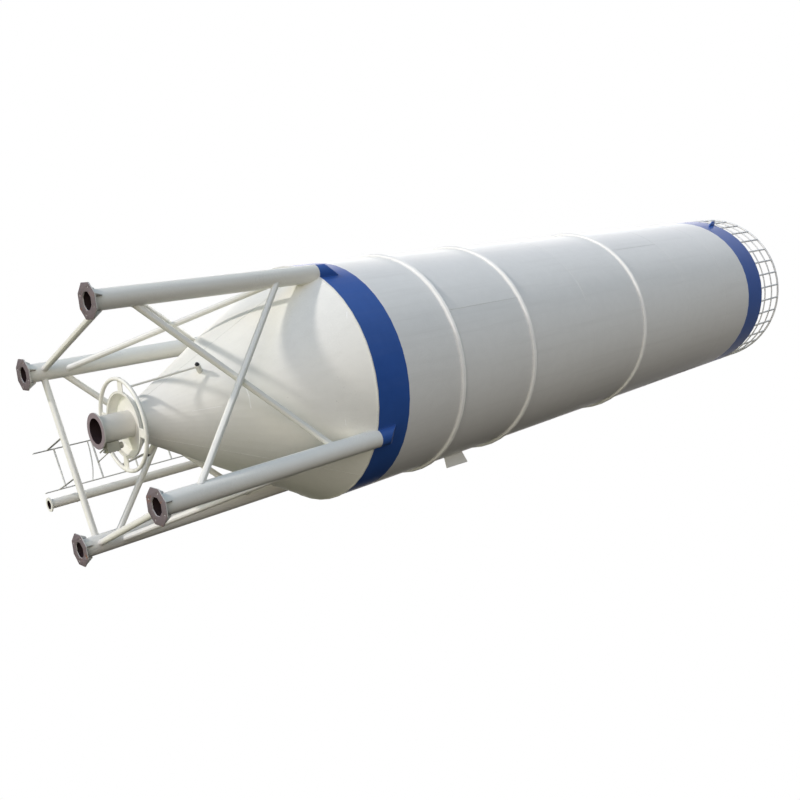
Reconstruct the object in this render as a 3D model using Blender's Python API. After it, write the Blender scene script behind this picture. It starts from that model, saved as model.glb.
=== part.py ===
"""Cement silo: a welded steel shell on four braced pipe legs, standing upright.

The silo's axis is +Z and the foot plates rest on z = 0. The side without a low
strut faces -Y, and the ladder and fill pipe run up the +Y side. All sizes are in metres.
"""

import math

import bmesh
import bpy
from mathutils import Matrix, Vector

# Clearances and facets
GAP = 0.0003
CUT_REACH = 0.2
SHELL_SIDES = 48
LEG_SIDES = 24
BRACE_SIDES = 12

# Shell: rolled plates 1.5 m wide, stacked from the rim of the cone
SHELL_RADIUS = 1.5
WALL = 0.006
RIM_Z = 2.84
COURSE_HEIGHT = 1.5
COURSE_COUNT = 7
BASE_BAND_TOP = 3.357
TOP_BAND_FOOT = 12.79
SHELL_TOP = 13.40
BEAD_JOINTS = (1, 2, 4)
BEAD_WIDTH = 0.08
BEAD_PROUD = 0.04
BEAD_FACETS = 4

# Hopper cone and discharge
NECK_RADIUS = 0.22
NECK_Z = 0.623
FLARE_RADIUS = 0.37
FLARE_Z = 0.45
FLARE_LIP = 0.03
FLARE_EDGE = 0.02
PAN_DEPTH = 0.08
SPOUT_RADIUS = 0.15
SPOUT_FLANGE_RADIUS = 0.2
SPOUT_FLANGE = 0.016
SPOUT_Z = 0.14
SPOUT_WALL = 0.008
SPOUT_LAP = 0.03
DISC_SIDES = 32

# Roof
ROOF_PLATE = 0.006
ROOF_RISE = 0.12
ROOF_RIM_RADIUS = 1.40
MANHOLE_PLACE = Vector((-0.55, -0.50))
MANHOLE_RADIUS = 0.30
MANHOLE_LEDGE = 0.03
MANHOLE_TOP = 13.62
LID_THICKNESS = 0.012
LID_OVERHANG = 0.035

# Guardrail: posts every 10 degrees with a gap at the ladder
RAIL_RADIUS = 1.483
POST_PITCH = 10
GATE_ANGLE = 90
POST_SIZE = 0.034
RAIL_SIZE = 0.026
TOP_RAIL_SIZE = 0.038
RAIL_LAP = 0.002
RAIL_LEVELS = (13.59, 13.91, 14.216)
GUARD_PANELS = 4

# Legs and feet
LEG_RADIUS = 0.1095
LEG_BORE = 0.1015
LEG_BORE_TOP = 2.5
LEG_TOP_OUTER = 2.99
LEG_TOP_SHELL = 3.14
MITRE_BLOCK = 1.0
LEG_ANGLES = {"front_left": 225, "front_right": 315, "back_right": 45, "back_left": 135}
FOOT_RADIUS = 0.198
FOOT_SIDES = 8
FOOT_PLATE = 0.014
FOOT_BORE = 0.10
GUSSET_REACH = 0.178
GUSSET_HEIGHT = 0.10
GUSSET_THICKNESS = 0.008
GUSSET_NOSE = 0.015
GUSSET_LAP = 0.001
GUSSET_COUNT = 4
GUSSET_TURN = 45

# Bracing between the legs
BRACE_RADIUS = 0.038
BRACE_LOW = 0.42
BRACE_HIGH = 2.30
STRUT_Z = 0.22

# Air ring round the outlet and its two feeds to the cone
AIR_RING_RADIUS = 0.51
AIR_RING_Z = 0.45
AIR_RING_SIDES = 40
AIR_PIPE_SIDES = 8
AIR_PIPE_RADIUS = 0.0225
FEED_RADIUS = 0.0135
NOZZLE_RADIUS = 0.032
NOZZLE_LENGTH = 0.12
NOZZLE_ROOT = 0.05
AIR_FEEDS = ((234, 240, 1.26), (45, 45, 0.85))
TAB_ANGLES = (30, 120, 210, 300)
TAB_HALF_WIDTH = 0.05
TAB_THICKNESS = 0.008

# Outlet valve on the spout
VALVE_ANGLE = 12
VALVE_HALF_WIDTH = 0.055
VALVE_REACH = 0.255
VALVE_LOW = 0.20
VALVE_HIGH = 0.34
VALVE_BOSS_RADIUS = 0.035
VALVE_BOSS_PLACE = 0.205
VALVE_BOSS_TOP = 0.395

# Ladder and fill pipe on the back
LADDER_Y = 1.65
LADDER_HALF_WIDTH = 0.25
LADDER_FOOT = 0.05
LADDER_TOP = 14.23
STRINGER = (0.008, 0.05)
RUNG_RADIUS = 0.011
RUNG_SIDES = 6
RUNG_FIRST = 0.30
RUNG_PITCH = 0.475
PIPE_PLACE = Vector((0.40, 1.60))
PIPE_RADIUS = 0.057
PIPE_BORE = 0.0505
PIPE_FOOT = 0.03
PIPE_ELBOW_Z = 12.93
PIPE_ELBOW_RADIUS = 0.14
PIPE_FLANGE_RADIUS = 0.088
PIPE_FLANGE = 0.014
PIPE_SIDES = 16
ELBOW_STEPS = 5
ELBOW_TAIL = 0.06
BRACKET_FIRST = 3.7
BRACKET_PITCH = 2.25
BRACKET_COUNT = 5
BRACKET_BAR = 0.05
BRACKET_DEPTH = 0.03
BRACKET_OVERHANG = 0.03
ARM_WIDTH = 0.04
ARM_INSET = 0.004
ARM_ROOT = 0.15
STAY_THICKNESS = 0.008
STAY_DEPTH = 0.04

# Lifting lugs, and the transport lug low on the shell
LUG_ANGLES = (225, 45)
LUG_Z = 13.30
LUG_DROP = 0.13
LUG_RISE = 0.07
LUG_REACH = 0.09
LUG_CHAMFER = 0.04
LUG_THICKNESS = 0.018
LUG_EYE_RADIUS = 0.02
LUG_EYE_PLACE = 0.052
LUG_ROOT = 0.05
TRANSPORT_ANGLE = -1
TRANSPORT_LEVELS = (4.76, 5.18)
TRANSPORT_TAPER = 0.04
TRANSPORT_THICKNESS = 0.024
TRANSPORT_REACH = (0.15, 0.165)
TRANSPORT_ROOT = 0.05


def clear_scene():
    for thing in list(bpy.data.objects):
        bpy.data.objects.remove(thing, do_unlink=True)


def paint(name, colour, roughness, metallic=0.0):
    material = bpy.data.materials.new(name)
    material.use_nodes = True
    shader = material.node_tree.nodes["Principled BSDF"]
    shader.inputs["Base Color"].default_value = (*colour, 1.0)
    shader.inputs["Roughness"].default_value = roughness
    shader.inputs["Metallic"].default_value = metallic
    material.diffuse_color = (*colour, 1.0)
    return material


def make_object(name, bm, material, smooth=True):
    """Turn a bmesh into a named object with outward faces."""
    bmesh.ops.recalc_face_normals(bm, faces=bm.faces)
    mesh = bpy.data.meshes.new(name)
    bm.to_mesh(mesh)
    bm.free()
    if smooth:
        mesh.shade_smooth()
        mesh.set_sharp_from_angle(angle=math.radians(30))
    thing = bpy.data.objects.new(name, mesh)
    bpy.context.scene.collection.objects.link(thing)
    if material is not None:
        mesh.materials.append(material)
    return thing


def make_cutter(name, bm):
    cutter = make_object(name, bm, None, smooth=False)
    cutter.hide_render = True
    cutter.display_type = "WIRE"
    return cutter


def combine(thing, other, operation):
    modifier = thing.modifiers.new(operation.title(), "BOOLEAN")
    modifier.operation = operation
    modifier.solver = "EXACT"
    modifier.object = other


def cut(thing, *cutters):
    for cutter in cutters:
        combine(thing, cutter, "DIFFERENCE")


def add_solid(thing, bm, name):
    """Weld another closed shape onto an object."""
    extra = make_object(name, bm, None, smooth=False)
    extra.hide_render = True
    extra.display_type = "WIRE"
    combine(thing, extra, "UNION")


def spin_profile(profile, sides, closed):
    """Turn (radius, z) points about the Z axis; a closed profile makes a ring."""
    bm = bmesh.new()
    points = [bm.verts.new((radius, 0.0, z)) for radius, z in profile]
    pairs = list(zip(points, points[1:]))
    if closed:
        pairs.append((points[-1], points[0]))
    edges = [bm.edges.new(pair) for pair in pairs]
    bmesh.ops.spin(
        bm, geom=points + edges, cent=(0, 0, 0), axis=(0, 0, 1),
        angle=math.tau, steps=sides, use_merge=True,
    )
    bmesh.ops.remove_doubles(bm, verts=bm.verts, dist=0.00001)
    return bm


def tube(radius, bore, low, high, sides):
    return spin_profile([(bore, low), (radius, low), (radius, high), (bore, high)], sides, True)


def drum(radius, low, high, sides):
    """A solid round bar about the Z axis."""
    return spin_profile([(0, low), (radius, low), (radius, high), (0, high)], sides, False)


def shifted(bm, x, y, z=0.0):
    bmesh.ops.translate(bm, verts=bm.verts, vec=(x, y, z))
    return bm


def block(low, high):
    """A box between two corners."""
    bm = bmesh.new()
    low, high = Vector(low), Vector(high)
    size = high - low
    place = Matrix.Translation((low + high) / 2) @ Matrix.Diagonal((*size, 1))
    bmesh.ops.create_cube(bm, size=1.0, matrix=place)
    return bm


def bar(start, end, radius, sides):
    """A solid round bar from one point to another."""
    start, end = Vector(start), Vector(end)
    run = end - start
    bm = bmesh.new()
    bmesh.ops.create_cone(
        bm, cap_ends=True, segments=sides, radius1=radius, radius2=radius, depth=run.length,
        matrix=Matrix.Translation((start + end) / 2) @ run.to_track_quat("Z", "Y").to_matrix().to_4x4(),
    )
    return bm


def merged(*pieces):
    """Join several bmeshes into one that holds all their faces."""
    whole = bmesh.new()
    for piece in pieces:
        mesh = bpy.data.meshes.new("part")
        piece.to_mesh(mesh)
        piece.free()
        whole.from_mesh(mesh)
        bpy.data.meshes.remove(mesh)
    return whole


def plate(outline, thickness):
    """A flat plate from (x, z) points, centred on the plane y = 0."""
    bm = bmesh.new()
    face = bm.faces.new([bm.verts.new((x, -thickness / 2, z)) for x, z in outline])
    swept = bmesh.ops.extrude_face_region(bm, geom=[face])
    moved = [item for item in swept["geom"] if isinstance(item, bmesh.types.BMVert)]
    bmesh.ops.translate(bm, verts=moved, vec=(0, thickness, 0))
    bmesh.ops.recalc_face_normals(bm, faces=bm.faces)
    return bm


def at_angle(radius, degrees, z=0.0):
    turn = math.radians(degrees)
    return Vector((radius * math.cos(turn), radius * math.sin(turn), z))


def turned(bm, degrees):
    turn = Matrix.Rotation(math.radians(degrees), 3, "Z")
    bmesh.ops.rotate(bm, verts=bm.verts, cent=(0, 0, 0), matrix=turn)
    return bm


CONE_SLOPE = (SHELL_RADIUS - NECK_RADIUS) / (RIM_Z - NECK_Z)


def cone_radius(z):
    return SHELL_RADIUS - (RIM_Z - z) * CONE_SLOPE


def silo_cutter(name, clearance):
    """The filled outline of cone and shell, grown by a clearance."""
    slope = math.atan(CONE_SLOPE)
    foot = NECK_Z - CUT_REACH
    profile = [
        (0, foot),
        (cone_radius(foot) + clearance / math.cos(slope), foot),
        (SHELL_RADIUS + clearance, RIM_Z - clearance * math.tan(slope / 2)),
        (SHELL_RADIUS + clearance, SHELL_TOP),
        (0, SHELL_TOP),
    ]
    return make_cutter(name, spin_profile(profile, SHELL_SIDES, False))


def build_shell(white, blue):
    """Shell courses, the two blue bands, and the beads over three of the joints."""
    joints = [RIM_Z + COURSE_HEIGHT * index for index in range(COURSE_COUNT)]
    lows = [BASE_BAND_TOP] + joints[1:]
    highs = joints[1:] + [TOP_BAND_FOOT]
    inner = SHELL_RADIUS - WALL
    for number, (low, high) in enumerate(zip(lows, highs), start=1):
        ring = tube(SHELL_RADIUS, inner, low + GAP / 2, high - GAP / 2, SHELL_SIDES)
        make_object(f"shell_course_{number}", ring, white)
    base_ring = tube(SHELL_RADIUS, inner, RIM_Z + GAP, BASE_BAND_TOP - GAP / 2, SHELL_SIDES)
    make_object("base_band", base_ring, blue)
    top_ring = tube(SHELL_RADIUS, inner, TOP_BAND_FOOT + GAP / 2, SHELL_TOP, SHELL_SIDES)
    top_band = make_object("top_band", top_ring, blue)
    inlet_z = PIPE_ELBOW_Z + PIPE_ELBOW_RADIUS
    inlet = bar((PIPE_PLACE.x, 0, inlet_z), (*PIPE_PLACE, inlet_z), PIPE_BORE, BRACE_SIDES)
    cut(top_band, make_cutter("cut_fill_inlet", inlet))
    seat = SHELL_RADIUS + GAP
    half = BEAD_WIDTH / 2
    for number, joint in enumerate(BEAD_JOINTS, start=1):
        z = joints[joint]
        bead = [(seat, z - half)]
        for step in range(1, BEAD_FACETS):
            turn = math.pi * step / BEAD_FACETS
            bead.append((seat + BEAD_PROUD * math.sin(turn), z - half * math.cos(turn)))
        bead.append((seat, z + half))
        make_object(f"stiffening_ring_{number}", spin_profile(bead, SHELL_SIDES, True), white)


def build_cone(cream):
    """Hopper cone with its flared discharge pan and the outlet spout."""
    side_wall = WALL / math.cos(math.atan(CONE_SLOPE))
    cone = [
        (NECK_RADIUS - side_wall, NECK_Z),
        (NECK_RADIUS, NECK_Z),
        (SHELL_RADIUS, RIM_Z),
        (SHELL_RADIUS - side_wall, RIM_Z),
    ]
    make_object("hopper_cone", spin_profile(cone, SHELL_SIDES, True), cream)
    neck_z = NECK_Z - GAP
    bore = SPOUT_RADIUS + GAP
    inner_lip = FLARE_RADIUS - FLARE_EDGE
    lip_z = FLARE_Z + FLARE_LIP
    plate_z = FLARE_Z + PAN_DEPTH
    inner_slope = (inner_lip - NECK_RADIUS + WALL) / (neck_z - lip_z)
    plate_radius = inner_lip - (plate_z - lip_z) * inner_slope
    pan = [
        (bore, plate_z),
        (plate_radius, plate_z),
        (inner_lip, lip_z),
        (inner_lip, FLARE_Z),
        (FLARE_RADIUS, FLARE_Z),
        (FLARE_RADIUS, lip_z),
        (NECK_RADIUS, neck_z),
        (NECK_RADIUS - WALL, neck_z),
        (plate_radius - WALL * inner_slope, plate_z + WALL),
        (bore, plate_z + WALL),
    ]
    flare = make_object("discharge_pan", spin_profile(pan, DISC_SIDES, True), cream)
    tab_low = FLARE_Z + (WALL - TAB_THICKNESS) / 2
    tab_reach = AIR_RING_RADIUS - AIR_PIPE_RADIUS / 2
    tabs = []
    for angle in TAB_ANGLES:
        tab = block((inner_lip + WALL, -TAB_HALF_WIDTH, tab_low),
                    (tab_reach, TAB_HALF_WIDTH, tab_low + TAB_THICKNESS))
        tabs.append(turned(tab, angle))
    add_solid(flare, merged(*tabs), "ring_tabs")
    cut(flare, make_cutter("cut_ring_room", air_ring_bmesh(AIR_PIPE_RADIUS + GAP)))
    spout_bore = SPOUT_RADIUS - SPOUT_WALL
    spout = [
        (spout_bore, SPOUT_Z),
        (SPOUT_FLANGE_RADIUS, SPOUT_Z),
        (SPOUT_FLANGE_RADIUS, SPOUT_Z + SPOUT_FLANGE),
        (SPOUT_RADIUS, SPOUT_Z + SPOUT_FLANGE),
        (SPOUT_RADIUS, plate_z + SPOUT_LAP),
        (spout_bore, plate_z + SPOUT_LAP),
    ]
    make_object("outlet_spout", spin_profile(spout, DISC_SIDES, True), cream)


def build_roof(white):
    """Shallow conical roof with a manhole through it."""
    under = SHELL_TOP + GAP
    profile = [
        (0, under + ROOF_RISE),
        (ROOF_RIM_RADIUS, under),
        (SHELL_RADIUS, under),
        (SHELL_RADIUS, under + ROOF_PLATE),
        (ROOF_RIM_RADIUS, under + ROOF_PLATE),
        (0, under + ROOF_RISE + ROOF_PLATE),
    ]
    roof = make_object("roof_plate", spin_profile(profile, SHELL_SIDES, False), white)
    place = MANHOLE_PLACE
    hole = shifted(drum(MANHOLE_RADIUS - MANHOLE_LEDGE, under - CUT_REACH, MANHOLE_TOP, LEG_SIDES), *place)
    cut(roof, make_cutter("cut_manhole", hole))
    collar = tube(MANHOLE_RADIUS, MANHOLE_RADIUS - WALL, under, MANHOLE_TOP - LID_THICKNESS, LEG_SIDES)
    collar = make_object("manhole_collar", shifted(collar, *place), white)
    room = [
        (0, under - CUT_REACH),
        (SHELL_RADIUS, under - CUT_REACH),
        (SHELL_RADIUS, under + ROOF_PLATE + GAP),
        (ROOF_RIM_RADIUS, under + ROOF_PLATE + GAP),
        (0, under + ROOF_RISE + ROOF_PLATE + GAP),
    ]
    cut(collar, make_cutter("cut_roof_room", spin_profile(room, SHELL_SIDES, False)))
    lid_low = MANHOLE_TOP - LID_THICKNESS + GAP
    lid = drum(MANHOLE_RADIUS + LID_OVERHANG, lid_low, MANHOLE_TOP, LEG_SIDES)
    make_object("manhole_lid", shifted(lid, *place), white)


def guard_rail(level, size, angles):
    """A square rail in straight chords through the given angles."""
    bm = bmesh.new()
    loops = []
    half = size / 2
    for angle in angles:
        corners = []
        for radius, z in ((-half, -half), (half, -half), (half, half), (-half, half)):
            corners.append(bm.verts.new(at_angle(RAIL_RADIUS + radius, angle, level + z)))
        loops.append(corners)
    for near, far in zip(loops, loops[1:]):
        for index in range(4):
            after = (index + 1) % 4
            bm.faces.new((near[index], near[after], far[after], far[index]))
    bm.faces.new(loops[0])
    bm.faces.new(reversed(loops[-1]))
    bmesh.ops.recalc_face_normals(bm, faces=bm.faces)
    return bm


def build_guardrail(pale):
    """Four guardrail panels on the roof's edge, leaving the ladder gap open."""
    foot = SHELL_TOP + ROOF_PLATE + 2 * GAP
    head = RAIL_LEVELS[-1]
    first_post = GATE_ANGLE + POST_PITCH
    posts = [first_post + POST_PITCH * step for step in range(360 // POST_PITCH - 1)]
    share = math.ceil(len(posts) / GUARD_PANELS)
    half = POST_SIZE / 2
    lap = math.degrees((half + RAIL_LAP) / RAIL_RADIUS)
    gap = math.degrees(GAP / RAIL_RADIUS)
    for panel in range(GUARD_PANELS):
        own = posts[panel * share:(panel + 1) * share]
        uprights = []
        for angle in own:
            post = block((RAIL_RADIUS - half, -half, foot), (RAIL_RADIUS + half, half, head))
            uprights.append(turned(post, angle))
        guard = make_object(f"guardrail_{panel + 1}", merged(*uprights), pale)
        last_panel = panel == GUARD_PANELS - 1
        end = own[-1] + lap if last_panel else own[-1] + POST_PITCH - lap - gap
        angles = [own[0] - lap, *own, end]
        rails = [guard_rail(level, RAIL_SIZE, angles) for level in RAIL_LEVELS[:-1]]
        rails.append(guard_rail(head, TOP_RAIL_SIZE, angles))
        add_solid(guard, merged(*rails), f"rails_{panel + 1}")


def leg_axis(side):
    return at_angle(SHELL_RADIUS, LEG_ANGLES[side])


def build_legs(cream, primer, silo_room):
    """Pipe legs let into the rim of the shell, each on an eight-sided foot plate."""
    for side, angle in LEG_ANGLES.items():
        axis = leg_axis(side)
        leg = drum(LEG_RADIUS, FOOT_PLATE + GAP, LEG_TOP_SHELL + CUT_REACH, LEG_SIDES)
        leg = make_object(f"leg_{side}", shifted(turned(leg, angle), axis.x, axis.y), cream)
        bore = shifted(turned(drum(LEG_BORE, -CUT_REACH, LEG_BORE_TOP, LEG_SIDES), angle), axis.x, axis.y)
        mitre = block((-MITRE_BLOCK, -MITRE_BLOCK, 0), (MITRE_BLOCK, MITRE_BLOCK, MITRE_BLOCK))
        slope = math.atan((LEG_TOP_SHELL - LEG_TOP_OUTER) / LEG_RADIUS)
        bmesh.ops.rotate(mitre, verts=mitre.verts, cent=(0, 0, 0), matrix=Matrix.Rotation(slope, 3, "Y"))
        turned(mitre, angle)
        shifted(mitre, axis.x, axis.y, LEG_TOP_SHELL)
        cut(leg, make_cutter(f"cut_bore_{side}", bore), make_cutter(f"cut_mitre_{side}", mitre), silo_room)

        ring = [(FOOT_BORE, 0), (FOOT_RADIUS, 0), (FOOT_RADIUS, FOOT_PLATE), (FOOT_BORE, FOOT_PLATE)]
        foot = shifted(turned(spin_profile(ring, FOOT_SIDES, True), angle), axis.x, axis.y)
        foot = make_object(f"foot_{side}", foot, primer, smooth=False)
        root = LEG_RADIUS + GUSSET_LAP
        outline = [
            (root, FOOT_PLATE / 2),
            (GUSSET_REACH, FOOT_PLATE / 2),
            (GUSSET_REACH, FOOT_PLATE + GUSSET_NOSE),
            (root + GUSSET_NOSE, FOOT_PLATE + GUSSET_HEIGHT),
            (root, FOOT_PLATE + GUSSET_HEIGHT),
        ]
        pitch = 360 / GUSSET_COUNT
        gussets = [turned(plate(outline, GUSSET_THICKNESS), angle + GUSSET_TURN + pitch * step)
                   for step in range(GUSSET_COUNT)]
        add_solid(foot, shifted(merged(*gussets), axis.x, axis.y), f"gussets_{side}")


def leg_room(side):
    """A cutter that leaves a brace's end clear of the leg it meets."""
    axis = leg_axis(side)
    room = drum(LEG_RADIUS + GAP, 0, LEG_TOP_SHELL, LEG_SIDES)
    return make_cutter(f"cut_leg_{side}", shifted(turned(room, LEG_ANGLES[side]), axis.x, axis.y))


def build_bracing(cream):
    """Crossed diagonals on all four sides and a low strut on three of them."""
    rooms = {side: leg_room(side) for side in LEG_ANGLES}
    sides = {
        "front": ("front_left", "front_right"),
        "right": ("front_right", "back_right"),
        "back": ("back_right", "back_left"),
        "left": ("back_left", "front_left"),
    }
    apart = BRACE_RADIUS + GAP
    for side, (start, end) in sides.items():
        near, far = leg_axis(start), leg_axis(end)
        outward = ((near + far) / 2).normalized()
        low, high = Vector((0, 0, BRACE_LOW)), Vector((0, 0, BRACE_HIGH))
        inner = bar(near + low - outward * apart, far + high - outward * apart, BRACE_RADIUS, BRACE_SIDES)
        outer = bar(far + low + outward * apart, near + high + outward * apart, BRACE_RADIUS, BRACE_SIDES)
        for label, bm in (("inner", inner), ("outer", outer)):
            brace = make_object(f"brace_{side}_{label}", bm, cream)
            cut(brace, rooms[start], rooms[end])
        if side == "front":
            continue
        level = Vector((0, 0, STRUT_Z))
        strut = make_object(f"strut_{side}", bar(near + level, far + level, BRACE_RADIUS, BRACE_SIDES), cream)
        cut(strut, rooms[start], rooms[end])


def air_ring_bmesh(radius):
    """The pipe ring as a turned circle, also used to cut room for it."""
    profile = []
    for step in range(AIR_PIPE_SIDES):
        turn = math.tau * step / AIR_PIPE_SIDES
        profile.append((AIR_RING_RADIUS + radius * math.cos(turn), AIR_RING_Z + radius * math.sin(turn)))
    return spin_profile(profile, AIR_RING_SIDES, True)


def build_air_ring(cream, silo_room):
    """Ring main round the outlet, with a pipe and nozzle to the cone at two places."""
    make_object("air_ring", air_ring_bmesh(AIR_PIPE_RADIUS), cream)
    ring_room = make_cutter("cut_air_ring", air_ring_bmesh(AIR_PIPE_RADIUS + GAP))
    slope = math.atan(CONE_SLOPE)
    for number, (ring_angle, angle, level) in enumerate(AIR_FEEDS, start=1):
        outward = at_angle(math.cos(slope), angle, -math.sin(slope))
        seat = at_angle(cone_radius(level), angle, level)
        tip = seat + outward * NOZZLE_LENGTH
        nozzle = bar(seat - outward * NOZZLE_ROOT, tip, NOZZLE_RADIUS, BRACE_SIDES)
        feed = make_object(f"air_feed_{number}", nozzle, cream)
        start = at_angle(AIR_RING_RADIUS, ring_angle, AIR_RING_Z)
        pipe = bar(start, tip - outward * NOZZLE_RADIUS, FEED_RADIUS, AIR_PIPE_SIDES)
        add_solid(feed, pipe, f"feed_pipe_{number}")
        cut(feed, silo_room, ring_room)


def build_outlet_valve(steel):
    """Small box with a boss, clamped to the side of the spout."""
    root = SPOUT_RADIUS - VALVE_BOSS_RADIUS
    box = block((root, -VALVE_HALF_WIDTH, VALVE_LOW), (VALVE_REACH, VALVE_HALF_WIDTH, VALVE_HIGH))
    valve = make_object("outlet_valve", box, steel, smooth=False)
    boss_low = (VALVE_BOSS_PLACE, 0, (VALVE_LOW + VALVE_HIGH) / 2)
    boss_high = (VALVE_BOSS_PLACE, 0, VALVE_BOSS_TOP)
    add_solid(valve, bar(boss_low, boss_high, VALVE_BOSS_RADIUS, BRACE_SIDES), "valve_boss")
    room = drum(SPOUT_RADIUS + GAP, SPOUT_Z, FLARE_Z, DISC_SIDES)
    cut(valve, make_cutter("cut_spout_room", room))
    valve.rotation_euler.z = math.radians(VALVE_ANGLE)


def build_fill_pipe(cream, silo_room):
    """Fill pipe: flange, long riser and the elbow that meets the top band."""
    up, inward, across = Vector((0, 0, 1)), Vector((0, -1, 0)), Vector((1, 0, 0))
    foot = Vector((PIPE_PLACE.x, PIPE_PLACE.y, PIPE_FOOT))
    bend = Vector((PIPE_PLACE.x, PIPE_PLACE.y - PIPE_ELBOW_RADIUS, PIPE_ELBOW_Z))
    route = [foot]
    headings = [up]
    for step in range(ELBOW_STEPS + 1):
        turn = math.radians(90 * step / ELBOW_STEPS)
        route.append(bend + PIPE_ELBOW_RADIUS * (up * math.sin(turn) - inward * math.cos(turn)))
        headings.append(up * math.cos(turn) + inward * math.sin(turn))
    route.append(route[-1] + inward * ELBOW_TAIL)
    headings.append(inward)

    bm = bmesh.new()
    loops = []
    for radius in (PIPE_RADIUS, PIPE_BORE):
        for point, heading in zip(route, headings):
            upright = heading.cross(across)
            loop = []
            for step in range(PIPE_SIDES):
                turn = math.tau * step / PIPE_SIDES
                offset = across * math.cos(turn) + upright * math.sin(turn)
                loop.append(bm.verts.new(point + radius * offset))
            loops.append(loop)
    count = len(route)
    outer, inner = loops[:count], loops[count:]
    chains = list(zip(outer, outer[1:])) + list(zip(inner, inner[1:]))
    chains += [(outer[0], inner[0]), (outer[-1], inner[-1])]
    for near, far in chains:
        for index in range(PIPE_SIDES):
            after = (index + 1) % PIPE_SIDES
            bm.faces.new((near[index], near[after], far[after], far[index]))
    pipe = make_object("fill_pipe", bm, cream)
    mid_wall = (PIPE_RADIUS + PIPE_BORE) / 2
    flange = tube(PIPE_FLANGE_RADIUS, mid_wall, PIPE_FOOT, PIPE_FOOT + PIPE_FLANGE, PIPE_SIDES)
    add_solid(pipe, shifted(flange, *PIPE_PLACE), "pipe_flange")
    cut(pipe, silo_room)


def build_ladder(pale, silo_room):
    """Ladder with flat stringers, its wall brackets and two stays to the low strut."""
    wide, deep = STRINGER
    stringers = []
    for side in (-1, 1):
        x = side * LADDER_HALF_WIDTH
        stringers.append(block((x - wide / 2, LADDER_Y - deep / 2, LADDER_FOOT),
                               (x + wide / 2, LADDER_Y + deep / 2, LADDER_TOP)))
    ladder = make_object("ladder", merged(*stringers), pale, smooth=False)
    rungs = []
    count = int((LADDER_TOP - RUNG_FIRST) / RUNG_PITCH) + 1
    for step in range(count):
        z = RUNG_FIRST + RUNG_PITCH * step
        near, far = (-LADDER_HALF_WIDTH, LADDER_Y, z), (LADDER_HALF_WIDTH, LADDER_Y, z)
        rungs.append(bar(near, far, RUNG_RADIUS, RUNG_SIDES))
    add_solid(ladder, merged(*rungs), "rungs")

    back = LADDER_Y - deep / 2 - GAP
    pipe_room = drum(PIPE_RADIUS + GAP, PIPE_FOOT, PIPE_ELBOW_Z, PIPE_SIDES)
    pipe_room = make_cutter("cut_pipe_room", shifted(pipe_room, *PIPE_PLACE))
    half = BRACKET_BAR / 2
    for number in range(BRACKET_COUNT):
        z = BRACKET_FIRST + BRACKET_PITCH * number
        bracket = block((-LADDER_HALF_WIDTH - BRACKET_OVERHANG, back - BRACKET_DEPTH, z - half),
                        (PIPE_PLACE.x, back, z + half))
        bracket = make_object(f"wall_bracket_{number + 1}", bracket, pale, smooth=False)
        arms = []
        for x in (-LADDER_HALF_WIDTH, LADDER_HALF_WIDTH):
            arms.append(block((x - ARM_WIDTH / 2, SHELL_RADIUS - ARM_ROOT, z - half + ARM_INSET),
                              (x + ARM_WIDTH / 2, back - BRACKET_DEPTH / 2, z + half - ARM_INSET)))
        add_solid(bracket, merged(*arms), f"bracket_arms_{number + 1}")
        cut(bracket, silo_room, pipe_room)

    strut_face = leg_axis("back_left").y + BRACE_RADIUS + GAP
    thick, high = STAY_THICKNESS / 2, STAY_DEPTH / 2
    for label, x in (("left", -LADDER_HALF_WIDTH), ("right", LADDER_HALF_WIDTH)):
        stay = block((x - thick, strut_face, STRUT_Z - high), (x + thick, back, STRUT_Z + high))
        make_object(f"ladder_stay_{label}", stay, pale, smooth=False)


def build_lugs(blue, silo_room):
    """Two lifting lugs on the top band."""
    root, reach = SHELL_RADIUS - LUG_ROOT, SHELL_RADIUS + LUG_REACH
    foot, head = LUG_Z - LUG_DROP, LUG_Z + LUG_RISE
    outline = [
        (root, foot),
        (reach - 2 * LUG_CHAMFER, foot),
        (reach, foot + 2 * LUG_CHAMFER),
        (reach, head - LUG_CHAMFER),
        (reach - LUG_CHAMFER, head),
        (root, head),
    ]
    eye_radius = SHELL_RADIUS + LUG_EYE_PLACE
    for number, angle in enumerate(LUG_ANGLES, start=1):
        lug = turned(plate(outline, LUG_THICKNESS), angle)
        lug = make_object(f"lifting_lug_{number}", lug, blue, smooth=False)
        eye = bar((eye_radius, -LUG_THICKNESS, LUG_Z), (eye_radius, LUG_THICKNESS, LUG_Z),
                  LUG_EYE_RADIUS, BRACE_SIDES)
        cut(lug, make_cutter(f"cut_eye_{number}", turned(eye, angle)), silo_room)


def build_transport_lug(white, silo_room):
    """Transport lug low on the shell: a plate that is longer at its outer edge than at its root."""
    low, high = TRANSPORT_LEVELS
    root = SHELL_RADIUS - TRANSPORT_ROOT
    low_reach, high_reach = (SHELL_RADIUS + reach for reach in TRANSPORT_REACH)
    outline = [
        (root, low + TRANSPORT_TAPER),
        (low_reach, low),
        (high_reach, high),
        (root, high - TRANSPORT_TAPER),
    ]
    lug = turned(plate(outline, TRANSPORT_THICKNESS), TRANSPORT_ANGLE)
    lug = make_object("transport_lug", lug, white, smooth=False)
    cut(lug, silo_room)


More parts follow.
